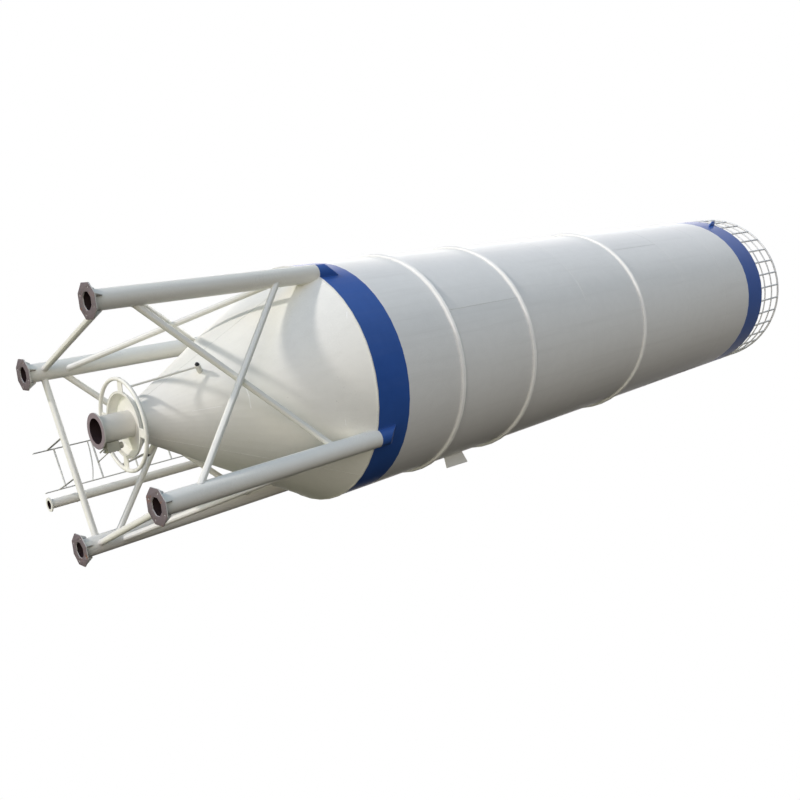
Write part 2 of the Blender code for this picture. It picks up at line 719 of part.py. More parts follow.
def main():
    clear_scene()
    white = paint("ivory_paint", (0.80, 0.80, 0.76), 0.35)
    cream = paint("cream_paint", (0.82, 0.80, 0.72), 0.4)
    blue = paint("blue_paint", (0.02, 0.08, 0.32), 0.35)
    pale = paint("pale_grey_paint", (0.70, 0.71, 0.70), 0.45)
    primer = paint("primed_steel", (0.30, 0.22, 0.22), 0.6, 0.3)
    steel = paint("dark_steel", (0.10, 0.10, 0.11), 0.5, 0.5)
    silo_room = silo_cutter("cut_silo_room", GAP)
    build_shell(white, blue)
    build_cone(cream)
    build_roof(white)
    build_guardrail(pale)
    build_legs(cream, primer, silo_room)
    build_bracing(cream)
    build_air_ring(cream, silo_room)
    build_outlet_valve(steel)
    build_fill_pipe(cream, silo_room)
    build_ladder(pale, silo_room)
    build_lugs(blue, silo_room)
    build_transport_lug(white, silo_room)


main()
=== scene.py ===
import math

import bmesh
import bpy
from bpy.props import FloatProperty, FloatVectorProperty, IntProperty, PointerProperty
from bpy.types import NodeSocket, Operator, Panel, PropertyGroup
from mathutils import Matrix, Vector


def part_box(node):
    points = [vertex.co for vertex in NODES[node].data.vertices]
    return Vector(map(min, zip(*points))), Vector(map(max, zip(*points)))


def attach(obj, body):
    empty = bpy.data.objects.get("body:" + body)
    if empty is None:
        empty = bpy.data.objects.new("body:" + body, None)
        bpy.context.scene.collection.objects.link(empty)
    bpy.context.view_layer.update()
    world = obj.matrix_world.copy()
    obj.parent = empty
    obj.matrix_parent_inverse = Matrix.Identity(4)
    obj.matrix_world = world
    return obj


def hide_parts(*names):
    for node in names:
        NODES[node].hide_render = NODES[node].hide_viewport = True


bl_info = {
    "name": "Cement Silo",
    "version": (1, 0, 0),
    "blender": (4, 5, 0),
    "location": "View3D > Sidebar > Silo",
    "description": "Paint, rust, welds, round pipework and fittings for a cement silo on four legs",
    "category": "Object",
}

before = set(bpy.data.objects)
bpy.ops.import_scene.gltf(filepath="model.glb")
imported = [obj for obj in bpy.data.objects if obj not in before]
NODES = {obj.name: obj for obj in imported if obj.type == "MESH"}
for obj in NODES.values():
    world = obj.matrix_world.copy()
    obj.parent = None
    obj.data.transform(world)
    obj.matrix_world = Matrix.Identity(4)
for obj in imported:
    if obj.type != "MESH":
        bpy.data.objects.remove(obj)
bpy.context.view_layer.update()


# Sizes in metres and angles in degrees, read from the frame where it holds them

def radius_at(node, z):
    """Largest distance from the silo's axis among a node's points at a height."""
    near = 0.001
    return max(v.co.xy.length for v in NODES[node].data.vertices if abs(v.co.z - z) < near)


def middle(node):
    """Height of the middle of a node's box."""
    return sum(corner.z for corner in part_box(node)) / 2


SHELL_RADIUS = radius_at("shell_course_1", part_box("shell_course_1")[1].z)
SHELL_SIDES = 48
PLATE = 0.006
COURSES = [f"shell_course_{number}" for number in range(1, 8)]
FIRST_SEAM_ANGLE = 150
SEAM_ANGLE_STEP = 112.5
RINGS = [f"stiffening_ring_{number}" for number in (1, 2, 3)]
NECK_Z, RIM_Z = (corner.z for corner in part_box("hopper_cone"))
NECK_RADIUS = radius_at("hopper_cone", NECK_Z)
CONE_SLOPE = (SHELL_RADIUS - NECK_RADIUS) / (RIM_Z - NECK_Z)
CONE_SEAM_ANGLES = (97.5, 217.5, 337.5)
RIM_BEAD = (
    (-0.004, -0.016), (0.001, -0.012), (0.007, -0.002), (0.007, 0.006), (0.001, 0.012), (-0.004, 0.012))
PAN_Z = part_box("discharge_pan")[0].z
PAN_RADIUS = 0.37
PAN_DEPTH = 0.08
SPOUT_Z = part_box("outlet_spout")[0].z
SPOUT_RADIUS = 0.15
SPOUT_BORE = 0.142
SPOUT_FLANGE = 0.016
SPOUT_FACE = 0.0005
OUTLET_SIDES = 64
VALVE_ANGLE = 12
AIR_RING_RADIUS = 0.51
AIR_PIPE_RADIUS = 0.0225
TAB_ANGLES = (30, 120, 210, 300)
STRAP = 0.003
STRAP_HALF_WIDTH = 0.009
FEED_SEATS = ((240, 1.26), (45, 0.85))
NOZZLE_LENGTH = 0.12
LEG_ANGLES = {"front_left": 225, "front_right": 315, "back_right": 45, "back_left": 135}
LEG_RADIUS = 0.1095
LEG_BORE = 0.1015
LEG_BORE_TOP = 2.6
LEG_BLUE_Z = RIM_Z + 0.012
LEG_HEAD_Z = 3.14
FOOT_PLATE = 0.014
FOOT_HOLE = 0.011
FOOT_HOLE_CIRCLE = 0.15
GUSSET_REACH = 0.175
GUSSET_HEIGHT = 0.098
GUSSET_HALF_WIDTH = 0.004
BRACE_RADIUS = 0.038
BRACE_LOW = 0.42
BRACE_HIGH = 2.30
BRACE_APART = 0.0383
STRUT_Z = 0.22
PIPE_X, PIPE_Y, PIPE_RADIUS = 0.40, 1.60, 0.057
PIPE_BORE = 0.053
PIPE_BORE_TOP = 12.9
PIPE_WELDS = (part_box("fill_pipe")[0].z + 0.014, 0.36, 6.30, 12.30, 12.93)
CLAMP_HALF_WIDTH = 0.018
BRACKETS = [f"wall_bracket_{number}" for number in range(1, 6)]
LADDER_Y = 1.65
LADDER_HALF_WIDTH = 0.25
STRINGER = (0.004, 0.025)
RUNG_FIRST = 0.30
RUNG_PITCH = 0.475
BENT_ROD = (
    (-LADDER_HALF_WIDTH, 0.726), (-0.15, 0.722), (0.0, 0.704), (0.13, 0.676), (LADDER_HALF_WIDTH, 0.636))
ROOF_EDGE_Z, ROOF_TOP_Z = (corner.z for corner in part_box("roof_plate"))
ROOF_RIM_RADIUS = 1.40
ROOF_SEAM_STEP = 45
MANHOLE_ANGLE = 225
LID_LOW, LID_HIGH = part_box("manhole_lid")
LID_X, LID_Y = (LID_LOW.x + LID_HIGH.x) / 2, (LID_LOW.y + LID_HIGH.y) / 2
LID_BOLT_RADIUS = (LID_HIGH.x - LID_LOW.x) / 2 - 0.018
GUARD_RADIUS = 1.483
GUARD_PITCH = 10
GUARD_GATE = 95
GUARD_END = 0.7
RAIL_LEVELS = (13.59, 13.91, 14.216)
# Each lug's angle, half its thickness, and how far its welds stop short of its ends
LUGS = {
    "lifting_lug_1": (225, 0.009, 0.0), "lifting_lug_2": (45, 0.009, 0.0), "transport_lug": (-1, 0.012, 0.04)}
SHARP_ANGLE = 30
CORNER_ANGLE = 35
WELD_SIDES = 8


# Settings that a user may change

class SiloColours(PropertyGroup):
    """Base colours of the silo's finishes, as linear values."""

    def colour(name, description, value):
        return FloatVectorProperty(
            name=name, description=description, subtype="COLOR", size=3, min=0, max=1, default=value)

    ivory: colour("Ivory paint", "Gloss paint of the shell", (0.78, 0.78, 0.745))
    cream: colour("Cream paint", "Paint of the cone, legs and bracing", (0.79, 0.785, 0.725))
    blue: colour("Blue paint", "Paint of the two bands", (0.030, 0.100, 0.370))
    pale: colour("Pale paint", "Paint of the ladder and guardrail", (0.70, 0.71, 0.70))
    primer: colour("Primer", "Bare primer on the foot plates and flange", (0.170, 0.140, 0.152))
    rust: colour("Rust", "Fresh orange rust", (0.420, 0.150, 0.045))
    # Deep rust is near black: besides rust patches it stands for the painted shade inside the legs', spout's
    # and fill pipe's bores
    deep_rust: colour("Deep rust", "Old dark rust inside the pipes", (0.022, 0.011, 0.012))
    grime: colour("Grime", "Road and cement dust", (0.330, 0.310, 0.260))
    dark: colour("Dark steel", "Black nozzle fittings", (0.055, 0.056, 0.060))
    valve: colour("Valve paint", "Grey-green primer of the outlet valve", (0.360, 0.360, 0.300))
    zinc: colour("Zinc", "Plated bolts and clamps", (0.420, 0.425, 0.430))
    scrape: colour("Scrape", "Bright scrapes down the cone", (0.93, 0.93, 0.90))


class SiloSizes(PropertyGroup):
    """Sizes of the round pipework, welds and fittings."""

    def length(name, description, value):
        return FloatProperty(name=name, description=description, unit="LENGTH", min=0, default=value)

    post: length("Post diameter", "Guardrail post", 0.034)
    rail: length("Rail diameter", "Lower guardrail rings", 0.026)
    top_rail: length("Top rail diameter", "Highest guardrail ring", 0.038)
    rung: length("Rung diameter", "Ladder rung", 0.022)
    seam: length("Seam width", "Width of a weld between plates", 0.010)
    seam_height: length("Seam height", "How far a seam stands off its plate", 0.002)
    fillet: length("Fillet", "Radius of a weld in a corner", 0.006)
    bevel: length("Bevel", "Rounding of cut plate edges", 0.002)
    bolt: length("Bolt", "Thread diameter of the hexagon bolts", 0.012)
    lid_bolts: IntProperty(name="Lid bolts", description="Bolts round the manhole lid", min=4, default=12)


class SiloStage(PropertyGroup):
    """Camera, lights and floor."""

    sun_strength: FloatProperty(name="Sun", description="Strength of the sun", min=0, default=2.0)
    sun_size: FloatProperty(
        name="Sun size", description="Angle that the sun fills", subtype="ANGLE", default=math.radians(3))
    sun_from: FloatVectorProperty(
        name="Sun from", description="Direction towards the sun", subtype="DIRECTION",
        default=(-0.6964, 0.0524, -0.7157))
    sun_colour: FloatVectorProperty(
        name="Sun colour", description="Colour of the sunlight", subtype="COLOR", default=(1.0, 0.946, 0.923))
    sky: FloatProperty(name="Sky", description="Strength of the sky light", min=0, default=1.0)
    floor: FloatProperty(name="Floor", description="Side of the floor", unit="LENGTH", default=60.0)
    floor_glow: FloatProperty(name="Floor glow", description="Light of the floor's own", min=0, default=0.42)
    camera_place: FloatVectorProperty(
        name="Camera place", description="Where the camera stands", subtype="TRANSLATION", unit="LENGTH",
        default=(1.80173, -8.63617, -3.65997))
    camera_turn: FloatVectorProperty(
        name="Camera turn", description="Camera rotation", subtype="EULER", unit="ROTATION",
        default=tuple(math.radians(angle) for angle in (165.6529, -45.0515, -59.6070)))
    lens: FloatProperty(name="Lens", description="Focal length in millimetres", default=38.442)
    shift: FloatProperty(name="Shift", description="Vertical shift of the view", default=-0.03125)


# Shader node trees

class Graph:
    """Short calls that add nodes to one tree."""

    def __init__(self, tree):
        self.tree = tree

    def add(self, kind, **settings):
        node = self.tree.nodes.new(kind)
        for name, value in settings.items():
            setattr(node, name, value)
        return node

    def put(self, value, socket):
        if isinstance(value, NodeSocket):
            self.tree.links.new(value, socket)
        else:
            socket.default_value = value

    def feed(self, sockets, **values):
        """Put values in sockets by name; spaces in a socket's name are underscores here."""
        for name, value in values.items():
            self.put(value, sockets[name.replace("_", " ")])

    def chain(self, kind, *values, **settings):
        """Add a node and put values in its sockets in order."""
        node = self.add(kind, **settings)
        for value, socket in zip(values, node.inputs):
            self.put(value, socket)
        return node.outputs[0]

    def math(self, operation, *values):
        return self.chain("ShaderNodeMath", *values, operation=operation)

    def times(self, product, *others):
        for value in others:
            product = self.math("MULTIPLY", product, value)
        return product

    def vector(self, operation, *values):
        return self.chain("ShaderNodeVectorMath", *values, operation=operation)

    def scalar(self, operation, *values):
        """A number worked out from vectors, such as their distance."""
        return self.vector(operation, *values).node.outputs["Value"]

    def scaled(self, vector, factor):
        node = self.add("ShaderNodeVectorMath", operation="SCALE")
        self.put(vector, node.inputs[0])
        self.put(factor, node.inputs["Scale"])
        return node.outputs["Vector"]

    def mix(self, factor, first, second, kind="RGBA", start=6, output=2):
        """Mix two colours."""
        node = self.add("ShaderNodeMix", data_type=kind)
        for value, index in ((factor, 0), (first, start), (second, start + 1)):
            self.put(value, node.inputs[index])
        return node.outputs[output]

    def blend(self, factor, first, second):
        """Mix two numbers."""
        return self.mix(factor, first, second, "FLOAT", 2, 0)

    def spread(self, value, low, high, to_low=0.0, to_high=1.0):
        """Map a value from one range to another, held inside it."""
        return self.chain("ShaderNodeMapRange", value, low, high, to_low, to_high)

    def noise(self, place, scale, detail=4.0, roughness=0.55):
        node = self.add("ShaderNodeTexNoise")
        self.feed(node.inputs, Vector=place, Scale=scale, Detail=detail, Roughness=roughness)
        return node.outputs[0]

    def place(self):
        return self.add("ShaderNodeTexCoord").outputs["Object"]

    def split(self, vector):
        return self.chain("ShaderNodeSeparateXYZ", vector).node.outputs

    def group(self, tree, **values):
        node = self.add("ShaderNodeGroup", node_tree=tree)
        self.feed(node.inputs, **values)
        return node.outputs


def node_graph(owner):
    """A material's or world's own nodes, cleared."""
    owner.use_nodes = True
    owner.node_tree.nodes.clear()
    return Graph(owner.node_tree)


def rgba(colour, shade=1.0):
    return (*(shade * value for value in colour), 1.0)


def new_group(name, outputs, **inputs):
    """A shader node group with named sockets; a colour's or vector's default is a tuple."""
    tree = bpy.data.node_groups.new(name, "ShaderNodeTree")
    kinds = {4: "NodeSocketColor", 3: "NodeSocketVector"}
    for label, value in inputs.items():
        kind = kinds[len(value)] if isinstance(value, tuple) else "NodeSocketFloat"
        socket = tree.interface.new_socket(label.replace("_", " "), in_out="INPUT", socket_type=kind)
        socket.default_value = value
    for label in outputs:
        kind = "NodeSocketColor" if label == "Color" else "NodeSocketFloat"
        tree.interface.new_socket(label, in_out="OUTPUT", socket_type=kind)
    graph = Graph(tree)
    return graph, graph.add("NodeGroupInput").outputs, graph.add("NodeGroupOutput").inputs


def built(name, build):
    """A node group, built the first time it is asked for."""
    return bpy.data.node_groups.get(name) or build(name)


def paint_group(name):
    """Brushed-on paint: broad mottling, streaks down the face, grime, small chips and orange peel."""
    graph, given, result = new_group(
        name, ("Color", "Roughness", "Height"), Paint=(0.8, 0.8, 0.8, 1.0), Grime_Colour=(0.3, 0.3, 0.3, 1.0),
        Under_Colour=(0.2, 0.1, 0.1, 1.0), Mottle=0.05, Streaks=0.1, Grime=0.1, Chips=0.1, Gloss=0.35)
    place = graph.place()
    broad = graph.noise(place, 0.85)
    medium = graph.noise(place, 7.0, 6.0, 0.62)
    fine = graph.noise(place, 52.0, 4.0, 0.6)
    stretched = graph.vector("MULTIPLY", place, (9.0, 9.0, 0.45))
    streak = graph.spread(graph.noise(stretched, 1.0, 5.0, 0.6), 0.52, 0.74)
    streak = graph.times(streak, medium, given["Streaks"])
    mottle = graph.math("SUBTRACT", graph.math("ADD", broad, medium), 1.0)
    bright = graph.math("MULTIPLY_ADD", mottle, given["Mottle"], 1.0)
    colour = graph.vector("MULTIPLY", given["Paint"], graph.scaled((1.0, 1.0, 1.0), bright))
    dirt = graph.times(graph.spread(broad, 0.42, 0.7), graph.spread(fine, 0.35, 0.75), given["Grime"])
    dirt = graph.math("MINIMUM", graph.math("ADD", dirt, streak), 1.0)
    colour = graph.mix(dirt, colour, given["Grime Colour"])
    spots = graph.spread(graph.noise(place, 31.0, 5.0, 0.65), 0.66, 0.70)
    chip = graph.times(spots, graph.spread(medium, 0.50, 0.62), given["Chips"])
    colour = graph.mix(chip, colour, given["Under Colour"])
    rough = graph.math("MULTIPLY_ADD", graph.math("SUBTRACT", medium, 0.5), 0.12, given["Gloss"])
    rough = graph.math("MULTIPLY_ADD", dirt, 0.3, rough)
    rough = graph.math("MULTIPLY_ADD", chip, 0.35, rough)
    peel = graph.times(graph.noise(place, 240.0, 2.0, 0.5), 0.12)
    wave = graph.math("MULTIPLY_ADD", broad, 0.6, peel)
    height = graph.math("SUBTRACT", wave, graph.times(chip, 0.5))
    graph.feed(result, Color=colour, Roughness=rough, Height=height)
    return graph.tree


def rust_group(name):
    """Primed or bare steel that rusts in patches."""
    graph, given, result = new_group(
        name, ("Color", "Roughness", "Height"), Metal=(0.2, 0.2, 0.2, 1.0), Rust=(0.4, 0.15, 0.05, 1.0),
        Deep_Rust=(0.05, 0.02, 0.01, 1.0), Amount=0.4, Scale=9.0, Gloss=0.6)
    place = graph.place()
    patch = graph.noise(place, given["Scale"], 8.0, 0.68)
    grain = graph.noise(place, 120.0, 3.0, 0.6)
    level = graph.math("SUBTRACT", 0.86, graph.times(given["Amount"], 0.62))
    rusted = graph.spread(patch, graph.math("SUBTRACT", level, 0.10), level)
    tint = graph.mix(graph.spread(grain, 0.35, 0.65), given["Rust"], given["Deep Rust"])
    metal = graph.mix(graph.spread(grain, 0.2, 0.8, 0.0, 0.25), given["Metal"], given["Deep Rust"])
    rough = graph.math("MULTIPLY_ADD", rusted, 0.3, given["Gloss"])
    height = graph.math("MULTIPLY_ADD", rusted, grain, graph.times(patch, 0.3))
    graph.feed(result, Color=graph.mix(rusted, metal, tint), Roughness=rough, Height=height)
    return graph.tree


def wear_group(name):
    """Mask of rubbed edges, broken up by noise."""
    graph, given, result = new_group(name, ("Mask",), Width=0.004, Amount=0.5)
    rounding = graph.add("ShaderNodeBevel", samples=4)
    graph.feed(rounding.inputs, Radius=given["Width"])
    true_normal = graph.add("ShaderNodeNewGeometry").outputs["Normal"]
    edge = graph.spread(graph.scalar("DOT_PRODUCT", rounding.outputs[0], true_normal), 0.995, 0.90)
    broken = graph.spread(graph.noise(graph.place(), 26.0, 5.0, 0.65), 0.42, 0.62)
    graph.feed(result, Mask=graph.times(edge, broken, given["Amount"]))
    return graph.tree


def weld_group(name):
    """Ripples and spatter of a painted weld, with painted shade darkening the ripples' hollows."""
    graph, given, result = new_group(name, ("Height", "Shade"), Ripple=95.0)
    ripple = graph.noise(graph.place(), given["Ripple"], 3.0, 0.5)
    lump = graph.noise(graph.place(), 24.0, 4.0, 0.6)
    # Shade: the colour darker in the ripples' hollows, painted shade
    shade = graph.spread(ripple, 0.3, 0.7, 0.82, 1.0)
    graph.feed(result, Height=graph.math("ADD", ripple, lump), Shade=shade)
    return graph.tree


def scratch_group(name):
    """Mask of one straight scrape between two points."""
    graph, given, result = new_group(name, ("Mask",), Start=(0.0, 0.0, 0.0), End=(0.0, 0.0, 1.0), Width=0.01)
    run = graph.vector("SUBTRACT", given["End"], given["Start"])
    reach = graph.vector("SUBTRACT", graph.place(), given["Start"])
    along = graph.scalar("DOT_PRODUCT", reach, run)
    along = graph.math("DIVIDE", along, graph.scalar("DOT_PRODUCT", run, run))
    along = graph.math("MAXIMUM", graph.math("MINIMUM", along, 1.0), 0.0)
    away = graph.scalar("DISTANCE", reach, graph.scaled(run, along))
    away = graph.math("ADD", away, graph.times(graph.noise(graph.place(), 60.0), given["Width"]))
    graph.feed(result, Mask=graph.spread(away, given["Width"], graph.times(given["Width"], 0.7)))
    return graph.tree


# Finishes

def close(graph, colour, roughness, height, bump, **settings):
    """End a material in a shader; further settings are constant values of its own sockets."""
    relief = graph.add("ShaderNodeBump")
    graph.feed(relief.inputs, Height=height, Distance=bump)
    shader = graph.add("ShaderNodeBsdfPrincipled")
    graph.feed(shader.inputs, Base_Color=colour, Roughness=roughness, Normal=relief.outputs[0], **settings)
    graph.put(shader.outputs[0], graph.add("ShaderNodeOutputMaterial").inputs["Surface"])


def painted(graph, colours, paint, mottle, streaks, grime, chips, gloss):
    return graph.group(
        built("Painted Steel", paint_group), Paint=paint, Grime_Colour=rgba(colours.grime),
        Under_Colour=rgba(colours.primer), Mottle=mottle, Streaks=streaks, Grime=grime, Chips=chips,
        Gloss=gloss)


def rusted(graph, colours, metal, amount, scale, gloss=0.6):
    return graph.group(
        built("Rusting Steel", rust_group), Metal=metal, Rust=rgba(colours.rust),
        Deep_Rust=rgba(colours.deep_rust), Amount=amount, Scale=scale, Gloss=gloss)


def worn(graph, width, amount):
    return graph.group(built("Rubbed Edges", wear_group), Width=width, Amount=amount)["Mask"]


def bore_mask(graph, place, x, y, radius):
    """1 within a radius of an upright axis and 0 outside it."""
    flat = graph.vector("MULTIPLY", place, (1.0, 1.0, 0.0))
    return graph.math("LESS_THAN", graph.scalar("DISTANCE", flat, (x, y, 0.0)), radius)


def coated(paint, amounts, bump, shade=1.0, wear=None, **settings):
    """
    A finish in one coat of paint. The amounts are its mottle, streaks, grime, chips and gloss, and wear
    is the width and amount of its rubbed edges and the colour under them.
    """
    def build(graph, colours):
        coat = painted(graph, colours, rgba(getattr(colours, paint), shade), *amounts)
        colour = coat["Color"]
        if wear:
            width, amount, under = wear
            colour = graph.mix(worn(graph, width, amount), colour, rgba(getattr(colours, under)))
        close(graph, colour, coat["Roughness"], coat["Height"], bump, **settings)
    return build


def welded(paint):
    """A weld painted over in one of the named colours."""
    def build(graph, colours):
        coat = painted(graph, colours, rgba(getattr(colours, paint)), 0.1, 0.1, 0.25, 0.3, 0.4)
        weld = graph.group(built("Weld Ripple", weld_group), Ripple=95.0)
        # Painted shade of the ripples darkens the weld's colour
        colour = graph.vector("MULTIPLY", coat["Color"], graph.scaled((1.0, 1.0, 1.0), weld["Shade"]))
        close(graph, colour, coat["Roughness"], weld["Height"], 0.0015)
    return build


SCRAPES = (
    ((0.032, -0.771, 1.579), (0.161, -0.760, 1.588), 0.016),
    ((0.161, -0.760, 1.588), (0.290, -0.720, 1.586), 0.012),
    ((0.115, -0.446, 1.040), (0.169, -0.599, 1.320), 0.007),
    ((-0.857, -1.177, 2.764), (-0.879, -1.223, 2.850), 0.010),
    ((-0.410, -1.420, 2.801), (-0.339, -1.419, 2.769), 0.010),
    ((0.741, -1.072, 2.500), (0.806, -1.035, 2.513), 0.009),
)


def cone_finish(graph, colours):
    """Cream paint with a few bright scrapes, each between two points and of a width."""
    coat = painted(graph, colours, rgba(colours.cream), 0.09, 0.12, 0.12, 0.25, 0.36)
    colour = coat["Color"]
    for start, end, width in SCRAPES:
        mask = graph.group(built("Scrape", scratch_group), Start=start, End=end, Width=width)["Mask"]
        colour = graph.mix(mask, colour, rgba(colours.scrape))
    close(graph, colour, coat["Roughness"], coat["Height"], 0.0006, Specular_IOR_Level=0.4)


def foot_finish(graph, colours):
    """Bare primer that rusts on the face below, thin cream paint above it."""
    bare = rusted(graph, colours, rgba(colours.primer), 0.30, 8.0, 0.55)
    cream = painted(graph, colours, rgba(colours.cream), 0.12, 0.3, 0.5, 1.0, 0.45)
    above = graph.math("GREATER_THAN", graph.split(graph.place())["Z"], 0.002)
    thin = graph.mix(0.25, cream["Color"], rgba(colours.primer))
    colour = graph.mix(above, bare["Color"], thin)
    colour = graph.mix(worn(graph, 0.004, 0.6), colour, rgba(colours.primer))
    rough = graph.blend(above, bare["Roughness"], cream["Roughness"])
    close(graph, colour, rough, bare["Height"], 0.0006)


def zinc_finish(graph, colours):
    coat = rusted(graph, colours, rgba(colours.zinc), 0.25, 40.0, 0.38)
    close(graph, coat["Color"], coat["Roughness"], coat["Height"], 0.0003, Metallic=0.75)


def leg_finish(graph, colours):
    """Cream pipe with a blue head above the rim and a near-black bore: dark rust and painted shade."""
    cream = painted(graph, colours, rgba(colours.cream), 0.10, 0.16, 0.20, 0.5, 0.40)
    blue = painted(graph, colours, rgba(colours.blue), 0.20, 0.05, 0.05, 0.3, 0.34)
    # The bore's near-black colour is painted shade as well as rust
    bore = rusted(graph, colours, rgba(colours.deep_rust), 0.16, 7.0)
    place = graph.vector("ABSOLUTE", graph.place())
    z = graph.split(place)["Z"]
    axis = SHELL_RADIUS * math.sqrt(0.5)
    inside = bore_mask(graph, place, axis, axis, (LEG_RADIUS + LEG_BORE) / 2)
    inside = graph.times(inside, graph.math("LESS_THAN", z, LEG_BORE_TOP))
    colour = graph.mix(graph.math("GREATER_THAN", z, LEG_BLUE_Z), cream["Color"], blue["Color"])
    colour = graph.mix(inside, colour, bore["Color"])
    rough = graph.blend(inside, cream["Roughness"], bore["Roughness"])
    close(graph, colour, rough, graph.blend(inside, cream["Height"], bore["Height"]), 0.0005)


def spout_finish(graph, colours):
    """Cream stub darkened as painted shade, with a primed flange face and a near-black bore: dark rust and
    painted shade.
    """
    # The spout's cream is darkened to 0.78 of the paint as painted shade
    cream = painted(graph, colours, rgba(colours.cream, 0.78), 0.12, 0.20, 0.30, 0.6, 0.42)
    face = rusted(graph, colours, rgba(colours.primer, 1.7), 0.12, 8.0)
    # The bore's near-black colour is painted shade as well as rust
    bore = rusted(graph, colours, rgba(colours.deep_rust), 0.10, 8.0)
    place = graph.place()
    z = graph.split(place)["Z"]
    inside = bore_mask(graph, place, 0.0, 0.0, (SPOUT_RADIUS + SPOUT_BORE) / 2)
    inside = graph.times(inside, graph.math("GREATER_THAN", z, SPOUT_Z + SPOUT_FACE))
    under = graph.math("LESS_THAN", z, SPOUT_Z + SPOUT_FACE)
    colour = graph.mix(under, cream["Color"], face["Color"])
    colour = graph.mix(inside, colour, bore["Color"])
    rough = graph.blend(inside, cream["Roughness"], bore["Roughness"])
    close(graph, colour, rough, graph.blend(under, cream["Height"], face["Height"]), 0.0006)


def pipe_finish(graph, colours):
    """Cream fill pipe with a near-black bore: dark rust and painted shade."""
    cream = painted(graph, colours, rgba(colours.cream), 0.10, 0.16, 0.22, 0.5, 0.40)
    # The bore's near-black colour is painted shade as well as rust
    bore = rusted(graph, colours, rgba(colours.deep_rust), 0.15, 9.0)
    place = graph.place()
    inside = bore_mask(graph, place, PIPE_X, PIPE_Y, PIPE_BORE)
    inside = graph.times(inside, graph.math("LESS_THAN", graph.split(place)["Z"], PIPE_BORE_TOP))
    colour = graph.mix(inside, cream["Color"], bore["Color"])
    close(graph, colour, cream["Roughness"], cream["Height"], 0.0004)


IVORY_COAT = coated("ivory", (0.10, 0.16, 0.10, 0.0, 0.34), 0.0006, Specular_IOR_Level=0.15)
CREAM_COAT = coated("cream", (0.10, 0.14, 0.18, 0.5, 0.40), 0.0004, wear=(0.004, 0.5, "grime"),
                    Specular_IOR_Level=0.4)
BLUE_COAT = coated("blue", (0.22, 0.05, 0.05, 0.35, 0.34), 0.0005, Specular_IOR_Level=0.5)
PALE_COAT = coated("pale", (0.10, 0.20, 0.25, 0.6, 0.45), 0.0003, wear=(0.003, 0.6, "primer"))
VALVE_COAT = coated("valve", (0.35, 0.3, 0.6, 1.0, 0.5), 0.0005, wear=(0.003, 0.7, "primer"))
BLACK_COAT = coated("dark", (0.4, 0.1, 0.2, 0.3, 0.38), 0.0003, shade=0.4)
FINISHES = {
    "ivory paint": (IVORY_COAT, "shell_white"),
    "ivory weld": (welded("ivory"), "shell_white"),
    "cream paint": (CREAM_COAT, "frame_cream"),
    "cream weld": (welded("cream"), "frame_cream"),
    "cone paint": (cone_finish, "frame_cream"),
    "spout paint": (spout_finish, "frame_cream"),
    "leg paint": (leg_finish, "frame_cream"),
    "pipe paint": (pipe_finish, "frame_cream"),
    "blue paint": (BLUE_COAT, "band_blue"),
    "blue weld": (welded("blue"), "band_blue"),
    "pale paint": (PALE_COAT, "rail_grey"),
    "rusty primer": (foot_finish, "primed_steel"),
    "primer weld": (welded("primer"), "primed_steel"),
    "valve paint": (VALVE_COAT, "dark_steel"),
    "black fitting": (BLACK_COAT, "dark_steel"),
    "zinc": (zinc_finish, "dark_steel"),
}


def finish(name):
    """The material of one of the named finishes, built the first time it is asked for."""
    material = bpy.data.materials.get(name)
    if not material:
        material = bpy.data.materials.new(name)
        build = FINISHES[name][0]
        build(node_graph(material), bpy.context.scene.silo_colours)
    return material


# Meshes

def at_angle(radius, degrees, z=0.0):
    turn = math.radians(degrees)
    return Vector((radius * math.cos(turn), radius * math.sin(turn), z))


def lathe(profile, sides, closed=True):
    """Turn (radius, z) points about the Z axis; a closed profile makes a ring."""
    bm = bmesh.new()
    count = len(profile)
    loops = []
    for step in range(sides):
        turn = math.tau * step / sides
        cosine, sine = math.cos(turn), math.sin(turn)
        loops.append([bm.verts.new((radius * cosine, radius * sine, z)) for radius, z in profile])
    pairs = [(index, (index + 1) % count) for index in range(count if closed else count - 1)]
    for near, far in zip(loops, loops[1:] + loops[:1]):
        for first, second in pairs:
            bm.faces.new((near[first], far[first], far[second], near[second]))
    bmesh.ops.remove_doubles(bm, verts=bm.verts, dist=0.00001)
    return bm


def sweep(points, radius, sides=WELD_SIDES, closed=False, flatten=1.0, up=None):
    """A round tube through points; flatten squeezes it along the direction up."""
    points = [Vector(point) for point in points]
    count = len(points)
    bm = bmesh.new()
    normal = up
    loops = []
    for index, point in enumerate(points):
        before = points[index - 1] if index or closed else point
        after = points[(index + 1) % count] if index < count - 1 or closed else point
        run = (after - before).normalized()
        if normal is None:
            normal = run.orthogonal()
        normal = (normal - run * normal.dot(run)).normalized()
        across = run.cross(normal)
        loop = []
        for step in range(sides):
            turn = math.tau * step / sides
            offset = normal * (radius * flatten * math.cos(turn)) + across * (radius * math.sin(turn))
            loop.append(bm.verts.new(point + offset))
        loops.append(loop)
    chains = list(zip(loops, loops[1:]))
    if closed:
        shift = min(range(sides), key=lambda turn: (loops[0][turn].co - loops[-1][0].co).length)
        chains.append((loops[-1], loops[0][shift:] + loops[0][:shift]))
    for near, far in chains:
        for index in range(sides):
            after = (index + 1) % sides
            bm.faces.new((near[index], near[after], far[after], far[index]))
    if not closed:
        bm.faces.new(loops[0])
        bm.faces.new(reversed(loops[-1]))
    return bm


